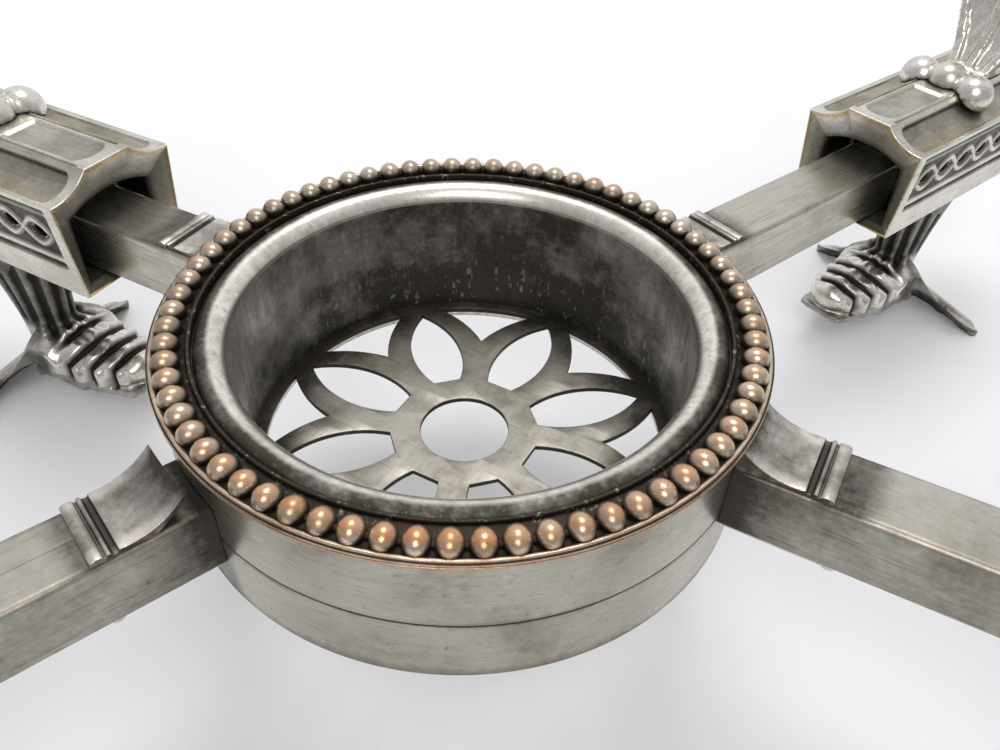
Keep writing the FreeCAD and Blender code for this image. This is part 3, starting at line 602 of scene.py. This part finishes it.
def makeRosette():
    low, high = nodeBox("rosette_grate")
    plateR = high.x
    rimR = drum["wellR"] - rosette["rim"]
    petalRoot, tip = (rosette["rootR"], rosette["rootHalf"]), (rosette["tipR"], 0)
    petal = throughThree(petalRoot, (rosette["wideR"], rosette["wideHalf"]), tip)
    petal += throughThree(tip, (rosette["wideR"], -rosette["wideHalf"]), (petalRoot[0], -petalRoot[1]))[1:]
    half = math.pi / rosette["petals"]
    endTurn = math.asin(rosette["endHalf"] / rimR)
    bulgeR = math.hypot(rosette["bulgeR"], rosette["bulgeHalf"])
    bulgeTurn = math.atan2(rosette["bulgeHalf"], rosette["bulgeR"])
    fork = polar(rosette["forkR"], half)
    start, end = polar(rimR, endTurn), polar(rimR, 2 * half - endTurn)
    spandrel = throughThree(fork, polar(bulgeR, bulgeTurn), start)
    spandrel += throughThree(start, polar(rimR, half), end)[1:]
    spandrel += throughThree(end, polar(bulgeR, 2 * half - bulgeTurn), fork)[1:-1]
    outlines = [[polar(plateR, math.tau * step / 180) for step in range(180)],
                [polar(rosette["hubR"], math.tau * step / 72) for step in range(72)]]
    for index in range(rosette["petals"]):
        spin = Matrix.Rotation(2 * half * index, 2)
        outlines += [[spin @ Vector(point) for point in petal], [spin @ Vector(point) for point in spandrel]]
    curve = bpy.data.curves.new("rosetteOutline", "CURVE")
    curve.dimensions, curve.fill_mode = "2D", "BOTH"
    curve.bevel_depth = rosette["edge"] / 1000
    curve.bevel_resolution = 2
    curve.offset = -rosette["edge"] / 1000
    curve.extrude = (high.z - low.z) / 2000 - curve.bevel_depth
    for outline in outlines:
        spline = curve.splines.new("POLY")
        spline.points.add(len(outline) - 1)
        for spot, point in zip(spline.points, outline):
            spot.co = (point[0] / 1000, point[1] / 1000, 0, 1)
        spline.use_cyclic_u = True
    holder = bpy.data.objects.new("rosetteOutline", curve)
    mesh = bpy.data.meshes.new_from_object(holder)
    bpy.data.objects.remove(holder)
    bm = bmesh.new()
    bm.from_mesh(mesh)
    bpy.data.meshes.remove(mesh)
    bmesh.ops.translate(bm, verts=bm.verts, vec=at(0, 0, (low.z + high.z) / 2))
    bmesh.ops.remove_doubles(bm, verts=bm.verts, dist=1e-6)
    bmesh.ops.recalc_face_normals(bm, faces=bm.faces)
    for index in range(1, 12):  # rings of vertices, so that the dirt can follow the radius
        for normal in ((0, 1, 0), (1, 0, 0)):
            cutThrough(bm, at(-33 + 5.5 * index, -33 + 5.5 * index, 0), normal)
    markSpots(bm, rosetteTouch)
    finishPiece("rosette", bm, rosettePlate, "root", ["rosette_grate"], 50)


makeLampWell()
makeBeadedBorder()
makeCollars()
makeRetainingRing()
makeRosette()
print("well and drum made")


# Arms and the pieces at their ends

root = {"gap": 0.08, "bracketL": 11.8, "bracketSide": 0.25, "lipRise": 0.7, "tipT": 1.1,
        "freeRise": 4.2, "freeGap": 2.3, "wideRidge": 1.6, "narrowRidge": 0.6, "groove": 0.4,
        "deepGroove": 0.9, "strapT": 0.8, "strapL": 13.5, "strapSide": 1.0, "nubR": 1.2, "turnGap": 0.6}
cap = {"thick": 1.6, "lip": 1.0, "domeR": 3.4, "domeH": 1.4}


def seatOnDrum(bm, gap):  # brings the root's end face onto the round drum
    seatR = drum["outerR"] + gap
    nearest = min(vert.co.x for vert in bm.verts)
    for vert in bm.verts:
        if vert.co.x < nearest + 0.0004:
            vert.co.x = math.sqrt((seatR / 1000) ** 2 - vert.co.y ** 2)


def makeArm(name, arm):
    def armTouch(place, normal):
        out = place.x - drum["outerR"]
        dirtAndShade = 0.8 * math.exp(-out / 3.0) + 0.25 * math.exp(-out / 20)
        if normal.z > 0.8:
            dirtAndShade += 0.65 * between(out, 8.0, 18.5, 3.5)
        # The front arms' side faces are painted darker: painted shade.
        if abs(normal.y) > 0.8:
            dirtAndShade += arm["sideDirt"]
        return (dirtAndShade, 0.25 if 0.3 < abs(normal.y) < 0.8 else 0.0, 0.0)

    bm = bmesh.new()
    width, high = armSize["width"], armSize["height"]
    start, end = drum["outerR"], armSize["endR"]
    place = Matrix.Translation(at((start + end) / 2, 0, arm["top"] - high / 2))
    size = Matrix.Diagonal((*at(end - start, width, high), 1))
    bmesh.ops.create_cube(bm, size=1, matrix=place @ size)
    longEdges = [edge for edge in bm.edges if abs(edge.verts[0].co.x - edge.verts[1].co.x) > 0.01]
    bmesh.ops.bevel(bm, geom=longEdges, offset=0.0010, offset_type="OFFSET", segments=5, profile=0.5,
                    affect="EDGES", clamp_overlap=True, material=-1)
    ends = [face for face in bm.faces if abs(face.normal.x) > 0.9]
    bmesh.ops.delete(bm, geom=ends, context="FACES_ONLY")
    cutAcross(bm, width / 2, 10)
    for index in range(1, 40):
        cutThrough(bm, at(start + 3 * index, 0, 0), (1, 0, 0))
    bmesh.ops.recalc_face_normals(bm, faces=bm.faces)
    bmesh.ops.solidify(bm, geom=bm.faces[:], thickness=0.0008)
    seatOnDrum(bm, root["gap"])
    markSpots(bm, armTouch, arm["grainShift"])
    onArm(bm, arm)
    finishPiece("arm." + name, bm, armPlate, arm["body"], ["arm_" + name], 30)


def bracketStart(arm):
    return drum["outerR"] + (root["gap"] if arm["isUpper"] else root["freeGap"])


def makeBracket(name, arm):
    start, top = bracketStart(arm), arm["top"] + 0.02
    end = start + root["bracketL"]
    rise = drum["top"] - top - 0.05 if arm["isUpper"] else root["freeRise"]
    lip = top + root["lipRise"]
    wide, narrow, groove, deep = root["wideRidge"], root["narrowRidge"], root["groove"], root["deepGroove"]
    ridgesStart = end - wide - groove - narrow - deep
    middle = ((2 * start + ridgesStart) / 3, top + (root["lipRise"] + rise) / 2 - 0.45)
    sweep = throughThree((start, top + rise), middle, (ridgesStart, lip + 0.1), 14)
    outline = [tuple(point) for point in sweep]
    outline += [(ridgesStart + 0.2, lip - 0.3), (ridgesStart + deep - 0.2, lip - 0.3)]
    outline += arcPoints((ridgesStart + deep + narrow / 2, lip - 0.15), (narrow / 2, 0.4), 170, 10, 6)
    outline += [(end - wide - groove / 2, lip - 0.3)]
    outline += arcPoints((end - wide * 0.55, lip - 0.25), (wide * 0.55, 0.5), 165, 20, 7)
    outline += [(end, top + 0.2), (end, top)]
    if arm["isUpper"]:
        outline += [(start, top)]
    else:
        outline += [((start + ridgesStart) / 2, top), (start, top + rise - root["tipT"])]
    half = armSize["width"] / 2 - root["bracketSide"]
    bm = bmesh.new()
    prism(bm, outline, half)
    cutAcross(bm, half, 10)
    bevelSharp(bm, 0.32, 50, 3)
    if arm["isUpper"]:
        seatOnDrum(bm, 0.05)

    def bracketTouch(place, normal):
        nearDrum = 0.7 * math.exp(-(place.x - start) / 1.5)
        side = 0.7 if abs(normal.y) > 0.7 else 0.0
        sunk = place.z < lip + 0.05
        lines = 0.7 * between(place.x, ridgesStart - 0.3, end - 1.8, 0.3) if sunk else 0.0
        middle = 0.4 * (1 - ramp(abs(place.y), half - 2.0, 1.4))
        return (0.12 + nearDrum + side + lines + middle, 0.5 if side else 0.1, 0.0)

    markSpots(bm, bracketTouch, arm["grainShift"])
    onArm(bm, arm)
    finishPiece("rootBracket." + name, bm, bracketPlate, arm["body"], ["root_bracket_" + name], 32)


def makeStrap(name, arm):
    start = drum["outerR"] + (root["turnGap"] if arm["isUpper"] else root["gap"])
    bottom = arm["top"] - armSize["height"] - 0.02
    half = armSize["width"] / 2 - root["strapSide"]
    end = start + root["strapL"]
    nub = arcPoints((end, bottom), (root["nubR"], root["nubR"]), 0, -139, 10)
    outline = [(start, bottom), *nub, (start, bottom - root["strapT"])]
    bm = bmesh.new()
    prism(bm, outline, half)
    cutAcross(bm, half, 8)
    bevelSharp(bm, 0.15, 50, 2)
    seatOnDrum(bm, root["turnGap"] if arm["isUpper"] else root["gap"])
    markSpots(bm, None, arm["grainShift"])
    onArm(bm, arm)
    finishPiece("underStrap." + name, bm, smokedPlate, arm["body"], ["under_strap_" + name], 32)


def makeEndCap(name, arm):
    half = armSize["width"] / 2 + cap["lip"]
    low, high = arm["top"] - armSize["height"] - cap["lip"], arm["top"] + cap["lip"]
    inner, outer = armSize["endR"] + 0.02, armSize["endR"] + cap["thick"]
    bm = bmesh.new()
    prism(bm, [(inner, low), (outer, low), (outer, high), (inner, high)], half)
    bevelSharp(bm, 0.45, 40, 3)
    middle = Vector((outer, 0, (low + high) / 2))
    ballR = (cap["domeR"] ** 2 + cap["domeH"] ** 2) / (2 * cap["domeH"])
    span = math.asin(cap["domeR"] / ballR)
    profile = [(ballR * math.sin(span * step / 8), ballR * math.cos(span * step / 8) - ballR + cap["domeH"])
               for step in range(9)]
    verts = [bm.verts.new(at(middle.x + height, radius, middle.z)) for radius, height in profile]
    edges = [bm.edges.new(pair) for pair in zip(verts, verts[1:])]
    bmesh.ops.spin(bm, geom=verts + edges, cent=at(middle.x, 0, middle.z), axis=(1, 0, 0), dvec=(0, 0, 0),
                   angle=math.tau, steps=48, use_merge=True, use_duplicate=False)
    bmesh.ops.remove_doubles(bm, verts=bm.verts, dist=1e-6)
    bmesh.ops.holes_fill(bm, edges=[edge for edge in bm.edges if edge.is_boundary], sides=0)
    bmesh.ops.recalc_face_normals(bm, faces=bm.faces)
    markSpots(bm, None, arm["grainShift"])
    onArm(bm, arm)
    finishPiece("endCap." + name, bm, bracketPlate, arm["body"], ["end_cap_" + name], 32)


for name, arm in arms.items():
    makeArm(name, arm)
    makeBracket(name, arm)
    makeStrap(name, arm)
    makeEndCap(name, arm)
print("arms made")


# Sleeves: heights are above the arm's top, widths from the middle, along is from the inner end.

sleeve = {"length": 60.0, "crownHalf": 4.6, "crown": 9.4, "cove": (8.575, 6.7), "corner": (12.55, 6.2),
          "foot": (11.15, -11.85), "mouthHalf": 8.5, "mouthTop": 3.3, "mouthSpring": 1.2,
          "mouthFloor": -10.85, "wall": 1.05, "samples": {"crown": 14, "shoulder": 36, "side": 66, "floor": 5},
          "stations": 200, "eyes": 8, "eyeSpan": 47.58, "eyeDrop": 6.3, "eyeHalf": (1.75, 1.1),
          "plainEnd": 2.2}
pitch = sleeve["eyeSpan"] / (sleeve["eyes"] - 1)


def alongLine(points, count):  # even steps along a chain of points
    lengths = [0.0]
    for a, b in zip(points, points[1:]):
        lengths.append(lengths[-1] + (Vector(b) - Vector(a)).length)
    placed = []
    leg = 0
    for step in range(count):
        want = lengths[-1] * step / count
        while lengths[leg + 1] < want:
            leg += 1
        part = (want - lengths[leg]) / (lengths[leg + 1] - lengths[leg])
        placed.append((Vector(points[leg]).lerp(Vector(points[leg + 1]), part), want))
    return placed


def sectionHalf(kind):  # width and height, section part and distance along that part
    samples = sleeve["samples"]
    if kind == "mouth":
        wide, spring, floor = sleeve["mouthHalf"], sleeve["mouthSpring"], sleeve["mouthFloor"]
        arch = throughThree((-wide, spring), (0, sleeve["mouthTop"]), (wide, spring), 60)[30:]
        parts = {"crown": arch[:10], "shoulder": arch[9:], "side": [(wide, spring), (wide, floor)],
                 "floor": [(wide, floor), (0, floor)]}
    else:
        inset = sleeve["wall"] if kind == "inner" else 0.0
        crown = (sleeve["crownHalf"] - inset / 2, sleeve["crown"] - inset)
        corner = (sleeve["corner"][0] - inset, sleeve["corner"][1] - inset)
        foot = (sleeve["foot"][0] - inset, sleeve["foot"][1] + inset)
        cove = (sleeve["cove"][0] - inset / 2, sleeve["cove"][1] - inset)
        parts = {"crown": [(0, crown[1]), crown], "shoulder": throughThree(crown, cove, corner, 30),
                 "side": [corner, foot], "floor": [foot, (0, foot[1])]}
    half = []
    for part, points in parts.items():
        half += [(spot, part, distance) for spot, distance in alongLine(points, samples[part])]
    return half + [(Vector(parts["floor"][-1]), "floor", 99.0)]


def sectionLoop(kind):
    half = sectionHalf(kind)
    return half + [(Vector((-spot.x, spot.y)), part, distance) for spot, part, distance in half[-2:0:-1]]


def sleeveRelief(along, part, across):  # height over the plain face, and dirt
    fromEnd = min(along, sleeve["length"] - along)
    if part == "crown":
        clear = 1 - between(along, 20.0, 42.0, 0.8)
        field = (1 - ramp(across, 3.0, 0.5)) * ramp(fromEnd, 2.3 + 0.14 * across ** 2, 0.5) * clear
        line = between(across, 3.9, 4.5, 0.25) * ramp(fromEnd, 1.9, 0.3)
        return -0.5 * field - 0.3 * line, 0.45 * field + 0.75 * line
    if part == "shoulder":
        corner = 2.2 + 1.6 * (1 - math.sqrt(max(0.0, 1 - (max(0.0, abs(across - 4.6) - 1.4) / 1.9) ** 2)))
        panel = between(across, 1.1, 8.0, 0.5) * ramp(fromEnd, corner, 0.5)
        rim = between(across, 0.9, 1.9, 0.35) * ramp(fromEnd, corner, 0.5)
        return -0.75 * panel, panel * (0.72 - 0.05 * across) + 0.4 * rim
    if part == "side":
        inner = ramp(fromEnd, sleeve["plainEnd"], 0.3)
        groove = max(between(across, 1.0, 1.8, 0.25), between(across, 11.3, 12.9, 0.4)) * inner
        field = between(across, 2.1, 10.4, 0.3) * inner
        first = sleeve["length"] / 2 - sleeve["eyeSpan"] / 2
        inRow = between(along, first - pitch / 2, first + sleeve["eyeSpan"] + pitch / 2, 0.3)
        wave = 2.35 * abs(math.cos(math.pi * (along - first) / pitch))
        off = min(abs(across - sleeve["eyeDrop"] - side * wave) for side in (-1, 1))
        strand = (1 - ramp(off, 0.35, 0.4)) * inRow
        height = -0.45 * groove - 0.5 * field * (1 - strand)
        return height, 0.95 * groove + 0.85 * field * (1 - strand)
    return 0.0, 0.2


def buildSleeve():
    outer, mouth, inner = sectionLoop("outer"), sectionLoop("mouth"), sectionLoop("inner")
    count = len(outer)
    normals = []
    for index in range(count):
        tangent = outer[(index + 1) % count][0] - outer[index - 1][0]
        normals.append(Vector((-tangent.y, tangent.x)).normalized())
    length = sleeve["length"]

    def outside(along, sunk=0.0):
        loop = []
        for (spot, part, distance), normal in zip(outer, normals):
            height, dirtAndShade = sleeveRelief(along, part, distance)
            loop.append((at(along, *(spot + normal * (height - sunk))), (dirtAndShade, 0.0, 0.0)))
        return loop

    def rim(along, share):
        wear = 1.3 * (1 - ramp(share, 0.0, 0.12))
        dirtAndShade = 0.42 * ramp(share, 0.1, 0.25) + 0.4 * ramp(share, 0.6, 0.4)
        return [(at(along, *(a[0] - normal * 0.25).lerp(b[0], share)), (dirtAndShade, wear, 0.0))
                for a, b, normal in zip(outer, mouth, normals)]

    def lining(along, shape):
        return [(at(along, *spot), (0.7, 0.0, 0.0)) for spot, part, distance in shape]

    funnel = ((0.04, 0.03), (0.5, 0.2), (1.1, 0.45), (1.7, 0.75), (2.1, 0.95), (2.3, 1.0))
    stations = sleeve["stations"]
    loops = [outside(0.0, 0.22), outside(0.07, 0.07), outside(0.22)]
    loops += [outside(0.3 + (length - 0.6) * step / stations) for step in range(stations + 1)]
    loops += [outside(length - 0.22), outside(length - 0.07, 0.07), outside(length, 0.22)]
    loops += [rim(length - deep, share) for deep, share in funnel]
    loops += [lining(length - 3.1, mouth)]
    loops += [lining(along, inner) for along in (56.7, 45, 30, 15, 3.3)]
    loops += [lining(3.1, mouth)]
    loops += [rim(deep, share) for deep, share in reversed(funnel)]
    loops.append(loops[0])

    bm = bmesh.new()
    marks = bm.verts.layers.float_vector.new("touch")
    verts, edges = loopOf(bm, [place for place, mark in loops[0]])
    for vert, (place, mark) in zip(verts, loops[0]):
        vert[marks] = mark
    for loop in loops[1:]:
        grown = bmesh.ops.extrude_edge_only(bm, edges=edges)["geom"]
        fresh = {item for item in grown if isinstance(item, bmesh.types.BMVert)}
        following = []
        for vert, (place, mark) in zip(verts, loop):
            partner = next(edge.other_vert(vert) for edge in vert.link_edges
                           if edge.other_vert(vert) in fresh)
            partner.co = place
            partner[marks] = mark
            following.append(partner)
        verts = following
        edges = [bm.edges.get(pair) for pair in zip(verts, verts[1:] + verts[:1])]
    bmesh.ops.remove_doubles(bm, verts=bm.verts, dist=1e-7)
    bmesh.ops.recalc_face_normals(bm, faces=bm.faces)
    return bm


def pierceSleeve(bm):  # the row of eyes through both sides
    cutters = bmesh.new()
    lean = math.atan((sleeve["corner"][0] - sleeve["foot"][0]) / (sleeve["corner"][1] - sleeve["foot"][1]))
    eyeHeight = sleeve["corner"][1] - sleeve["eyeDrop"]
    eyeSide = sleeve["corner"][0] - sleeve["eyeDrop"] * math.tan(lean)
    shape = Matrix.Diagonal((*(half / 1000 for half in sleeve["eyeHalf"]), 1, 1))
    for side in (-1, 1):
        tilt = Matrix.Rotation(math.radians(90) - side * lean, 4, "X")
        for index in range(sleeve["eyes"]):
            along = sleeve["length"] / 2 + sleeve["eyeSpan"] * (index / (sleeve["eyes"] - 1) - 0.5)
            place = Matrix.Translation(at(along, side * eyeSide, eyeHeight))
            bmesh.ops.create_cone(cutters, cap_ends=True, segments=24, radius1=1, radius2=1, depth=0.004,
                                  matrix=place @ tilt @ shape)
    mesh = bpy.data.meshes.new("eyeCutters")
    cutters.to_mesh(mesh)
    cutters.free()
    holder = bpy.data.objects.new("eyeCutters", mesh)
    bpy.context.scene.collection.objects.link(holder)
    pierced = modified(bm, [
        ("BOOLEAN", {"operation": "DIFFERENCE", "solver": "MANIFOLD", "object": holder})])
    bpy.data.objects.remove(holder)
    bpy.data.meshes.remove(mesh)
    return pierced


def makeSleeves():
    pattern = pierceSleeve(buildSleeve())
    print("sleeve:", len(pattern.verts), "vertices")
    spots = pattern.verts.layers.float_vector.new("spot")
    for name, arm in arms.items():
        for vert in pattern.verts:
            vert[spots] = vert.co + arm["grainShift"]
        bm = pattern.copy()
        onArm(bm, arm, arm["slideStart"], arm["top"])
        finishPiece("slideSleeve." + name, bm, castPlate, arm["slide"], ["slide_sleeve_" + name], 45)
    pattern.free()


def guideTouch(place, normal):
    return (0.8, 0.0, 0.0)


def makeGuides():
    for name, arm in arms.items():
        bm = copyOf("slide_guide_" + name, arm)
        markSpots(bm, guideTouch, arm["grainShift"])
        onArm(bm, arm, arm["slideStart"])
        finishPiece("slideGuide." + name, bm, smokedPlate, arm["slide"], ["slide_guide_" + name])


makeSleeves()
makeGuides()
print("sleeves made")


# Legs with their shell feet, and the leaves that hold a dish

cast = {"voxel": 0.38, "legFlutes": 7, "fluteDepth": 0.8, "ankle": 30.0, "shin": 33.2, "footTop": 15.0,
        "sole": 8.6, "toeGrooves": (23.4, 18.2, 13.6, 9.7)}


def leafMelt(bm, rounds):  # runs the pieces of a casting into each other
    return modified(bm, [
        ("REMESH", {"mode": "VOXEL", "voxel_size": cast["voxel"] / 1000, "use_smooth_shade": True}),
        ("SMOOTH", {"factor": 0.5, "iterations": rounds})])


def addBall(bm, place, radii):
    shape = Matrix.Translation(at(*place)) @ Matrix.Diagonal((*(radius / 1000 for radius in radii), 1))
    bmesh.ops.create_uvsphere(bm, u_segments=20, v_segments=12, radius=1, matrix=shape)


def buildLeg(arm, name):
    bm = copyOf("leg_" + name, arm)
    underside = arm["top"] + sleeve["foot"][1]
    addBall(bm, (24.9, 0, 14.2), (2.4, 2.6, 2.4))
    for side in (-1, 1):
        for step in range(3):  # drops that hang from the leg over the root of the toe
            place = (30.0 - 2.6 * step, side * (4.6 + 0.7 * step), 12.0 - 1.2 * step)
            addBall(bm, place, (1.35, 1.9, 4.2 - 0.7 * step))
    bm = leafMelt(bm, 3)
    bm.normal_update()
    touches = bm.verts.layers.float_vector.new("touch")
    for vert in bm.verts:
        place = vert.co * 1000
        sunk, dirtAndShade = 0.0, 0.45
        onLeg = ramp(place.z, cast["footTop"] - 2, 4) * (1 - ramp(place.z, underside - 2.5, 2.0))
        if onLeg > 0:  # long flutes, with a plain bright strip down the outer edge
            turn = math.atan2(place.y * 1.5, place.x - cast["shin"] - 1.5)
            flute = (0.5 - 0.5 * math.cos(cast["legFlutes"] * 2 * turn)) * ramp(abs(turn), 0.35, 0.4)
            sunk = flute * onLeg * cast["fluteDepth"]
            dirtAndShade = 0.2 + onLeg * (0.45 * ramp(abs(turn), 0.35, 0.6) + 0.5 * flute)
        onToe = (1 - ramp(place.x, 23.5, 1.5)) * ramp(place.z, cast["sole"], 1.0)
        if onToe > 0:  # grooves between the ribs that cross the toe
            bent = place.x - 0.035 * place.y ** 2
            nearest = min(abs(bent - groove) for groove in cast["toeGrooves"])
            cut = math.exp(-(nearest / 0.85) ** 2) * onToe
            sunk, dirtAndShade = max(sunk, 1.4 * cut), max(0.08, 1.4 * cut)
        # Darker under the toe along the sole, and on the wings' faces that turn away from up: painted shade.
        if place.z < cast["sole"] + 1 and place.x < cast["ankle"]:
            dirtAndShade = max(dirtAndShade, 0.5)
        if abs(place.y) > 6 and place.z > 1.0 and place.x > cast["ankle"] - 4:
            dirtAndShade = 0.55 * (1 - ramp(vert.normal.z, 0.5, 0.4)) + 0.2
        vert.co -= vert.normal * sunk / 1000
        vert[touches] = (dirtAndShade, 0.0, 0.0)
    return bm


def buildSupport(arm, name):
    bm = copyOf("dish_support_" + name, arm)
    bm = leafMelt(bm, 2)
    bm.normal_update()
    base = arm["top"] + sleeve["crown"]
    top = max(vert.co.z for vert in bm.verts) * 1000
    for vert in bm.verts:
        place = vert.co * 1000
        share = (place.z - base) / (top - base)
        onLeaf = ramp(share, 0.1, 0.12) * (1 - ramp(share, 0.86, 0.1))
        if onLeaf > 0 and abs(place.y) > 1.4 and abs(vert.normal.x) > 0.4:
            vein = 0.5 - 0.5 * math.cos((abs(place.y) * 1.9 + place.z * 0.9))
            vert.co -= vert.normal * vein * onLeaf * 0.28 / 1000
    return bm


def makeCastings():
    for stem, build, title in (("leg_", buildLeg, "leg"), ("dish_support_", buildSupport, "dishSupport")):
        patterns = {}
        for name, arm in arms.items():
            if arm["isUpper"] not in patterns:
                patterns[arm["isUpper"]] = build(arm, name)
            bm = patterns[arm["isUpper"]].copy()
            markSpots(bm, None, arm["grainShift"])
            onArm(bm, arm, arm["slideStart"])
            finishPiece(title + "." + name, bm, leafPlate, arm["slide"], [stem + name], 60)
        print(title, "made:", [len(pattern.verts) for pattern in patterns.values()], "vertices")


makeCastings()


# Floor, light and camera

def makeStage():
    bm = bmesh.new()
    bmesh.ops.create_grid(bm, x_segments=1, y_segments=1, size=30.0)
    mesh = bpy.data.meshes.new("paleFloor")
    bm.to_mesh(mesh)
    bm.free()
    floor = bpy.data.objects.new("paleFloor", mesh)
    bpy.context.scene.collection.objects.link(floor)
    material, tree = newMaterial("paleFloor", "")
    cloth = addNode(tree, "ShaderNodeBsdfDiffuse", {"Color": hexColour("#f2f2f3")})
    place = addNode(tree, "ShaderNodeTexCoord").outputs["Object"]
    reach = addNode(tree, "ShaderNodeVectorMath", {0: place}, operation="LENGTH").outputs["Value"]
    far = addNode(tree, "ShaderNodeMapRange", {
        "Value": reach, "From Min": 0.06, "From Max": 0.45}, interpolation_type="SMOOTHSTEP").outputs[0]
    rays = addNode(tree, "ShaderNodeLightPath").outputs["Is Camera Ray"]
    fade = addNode(tree, "ShaderNodeMath", {0: far, 1: rays}, operation="MULTIPLY").outputs[0]
    white = addNode(tree, "ShaderNodeEmission", {"Color": hexColour("#ffffff"), "Strength": 1.0})
    shown = addNode(tree, "ShaderNodeMixShader", {0: fade, 1: cloth.outputs[0], 2: white.outputs[0]})
    addNode(tree, "ShaderNodeOutputMaterial", {"Surface": shown.outputs[0]})
    mesh.materials.append(material)


def addLamp(name, size, strength, place, target, colour="#ffffff"):
    data = bpy.data.lights.new(name, "AREA")
    data.shape, data.size, data.energy = "DISK", size, strength
    data.color = hexColour(colour)[:3]
    lamp = bpy.data.objects.new(name, data)
    lamp.location = place
    lamp.rotation_euler = (Vector(target) - Vector(place)).to_track_quat("-Z", "Y").to_euler()
    bpy.context.scene.collection.objects.link(lamp)


# The photo was taken close by. Place and turn are a fit to the rims of the beads, the well and the arms.
shot = {"turn": 27.37, "tilt": 42.09, "roll": 1.98, "lens": 32.03,
        "fromRing": (5.3, -97.9, 76.6), "ringHeight": 56.0}


def makeCamera():
    tilt, roll = math.radians(shot["tilt"]), math.radians(shot["roll"])
    data = bpy.data.cameras.new("photoCamera")
    data.lens, data.sensor_width, data.clip_start = shot["lens"], 36, 0.004
    camera = bpy.data.objects.new("photoCamera", data)
    bpy.context.scene.collection.objects.link(camera)
    across, above = Vector((1, 0, 0)), Vector((0, math.sin(tilt), math.cos(tilt)))
    back = Vector((0, -math.cos(tilt), math.sin(tilt)))
    rows = [across * math.cos(roll) + above * math.sin(roll),
            above * math.cos(roll) - across * math.sin(roll), back]
    facing = Matrix(rows).transposed().to_4x4()
    place = Matrix.Translation(at(*shot["fromRing"]))
    camera.matrix_world = (Matrix.Translation(at(0, 0, shot["ringHeight"]))
                           @ Matrix.Rotation(math.radians(shot["turn"]), 4, "Z") @ place @ facing)
    bpy.context.scene.camera = camera


def makeWorld():
    world = bpy.data.worlds.new("softRoom")
    bpy.context.scene.world = world
    world.use_nodes = True
    tree = world.node_tree
    tree.nodes.clear()
    direction = addNode(tree, "ShaderNodeTexCoord").outputs["Generated"]
    towards = addNode(tree, "ShaderNodeVectorMath", {
        0: direction, 1: (-0.26, 0.72, 0.64)}, operation="DOT_PRODUCT").outputs["Value"]
    level = addNode(tree, "ShaderNodeMapRange", {
        "Value": towards, "From Min": 0.0, "From Max": 1.0, "To Min": 0.5, "To Max": 1.0},
        interpolation_type="SMOOTHSTEP").outputs[0]
    rays = addNode(tree, "ShaderNodeLightPath")
    light = addNode(tree, "ShaderNodeBackground", {"Color": hexColour("#fbfbff"), "Strength": level})
    white = addNode(tree, "ShaderNodeBackground", {"Color": hexColour("#ffffff"), "Strength": 1.0})
    shown = addNode(tree, "ShaderNodeMixShader", {
        0: rays.outputs["Is Camera Ray"], 1: light.outputs[0], 2: white.outputs[0]})
    addNode(tree, "ShaderNodeOutputWorld", {"Surface": shown.outputs[0]})


makeStage()
makeWorld()
makeCamera()
addLamp("backPanel", 0.6, 4.2, (-0.15, 0.38, 1.22), (0, 0.05, 0))
addLamp("frontPanel", 0.7, 4.4, (0.35, -0.75, 1.0), (0, 0, 0))
bpy.context.scene.view_settings.view_transform = "Standard"
print("stage made")
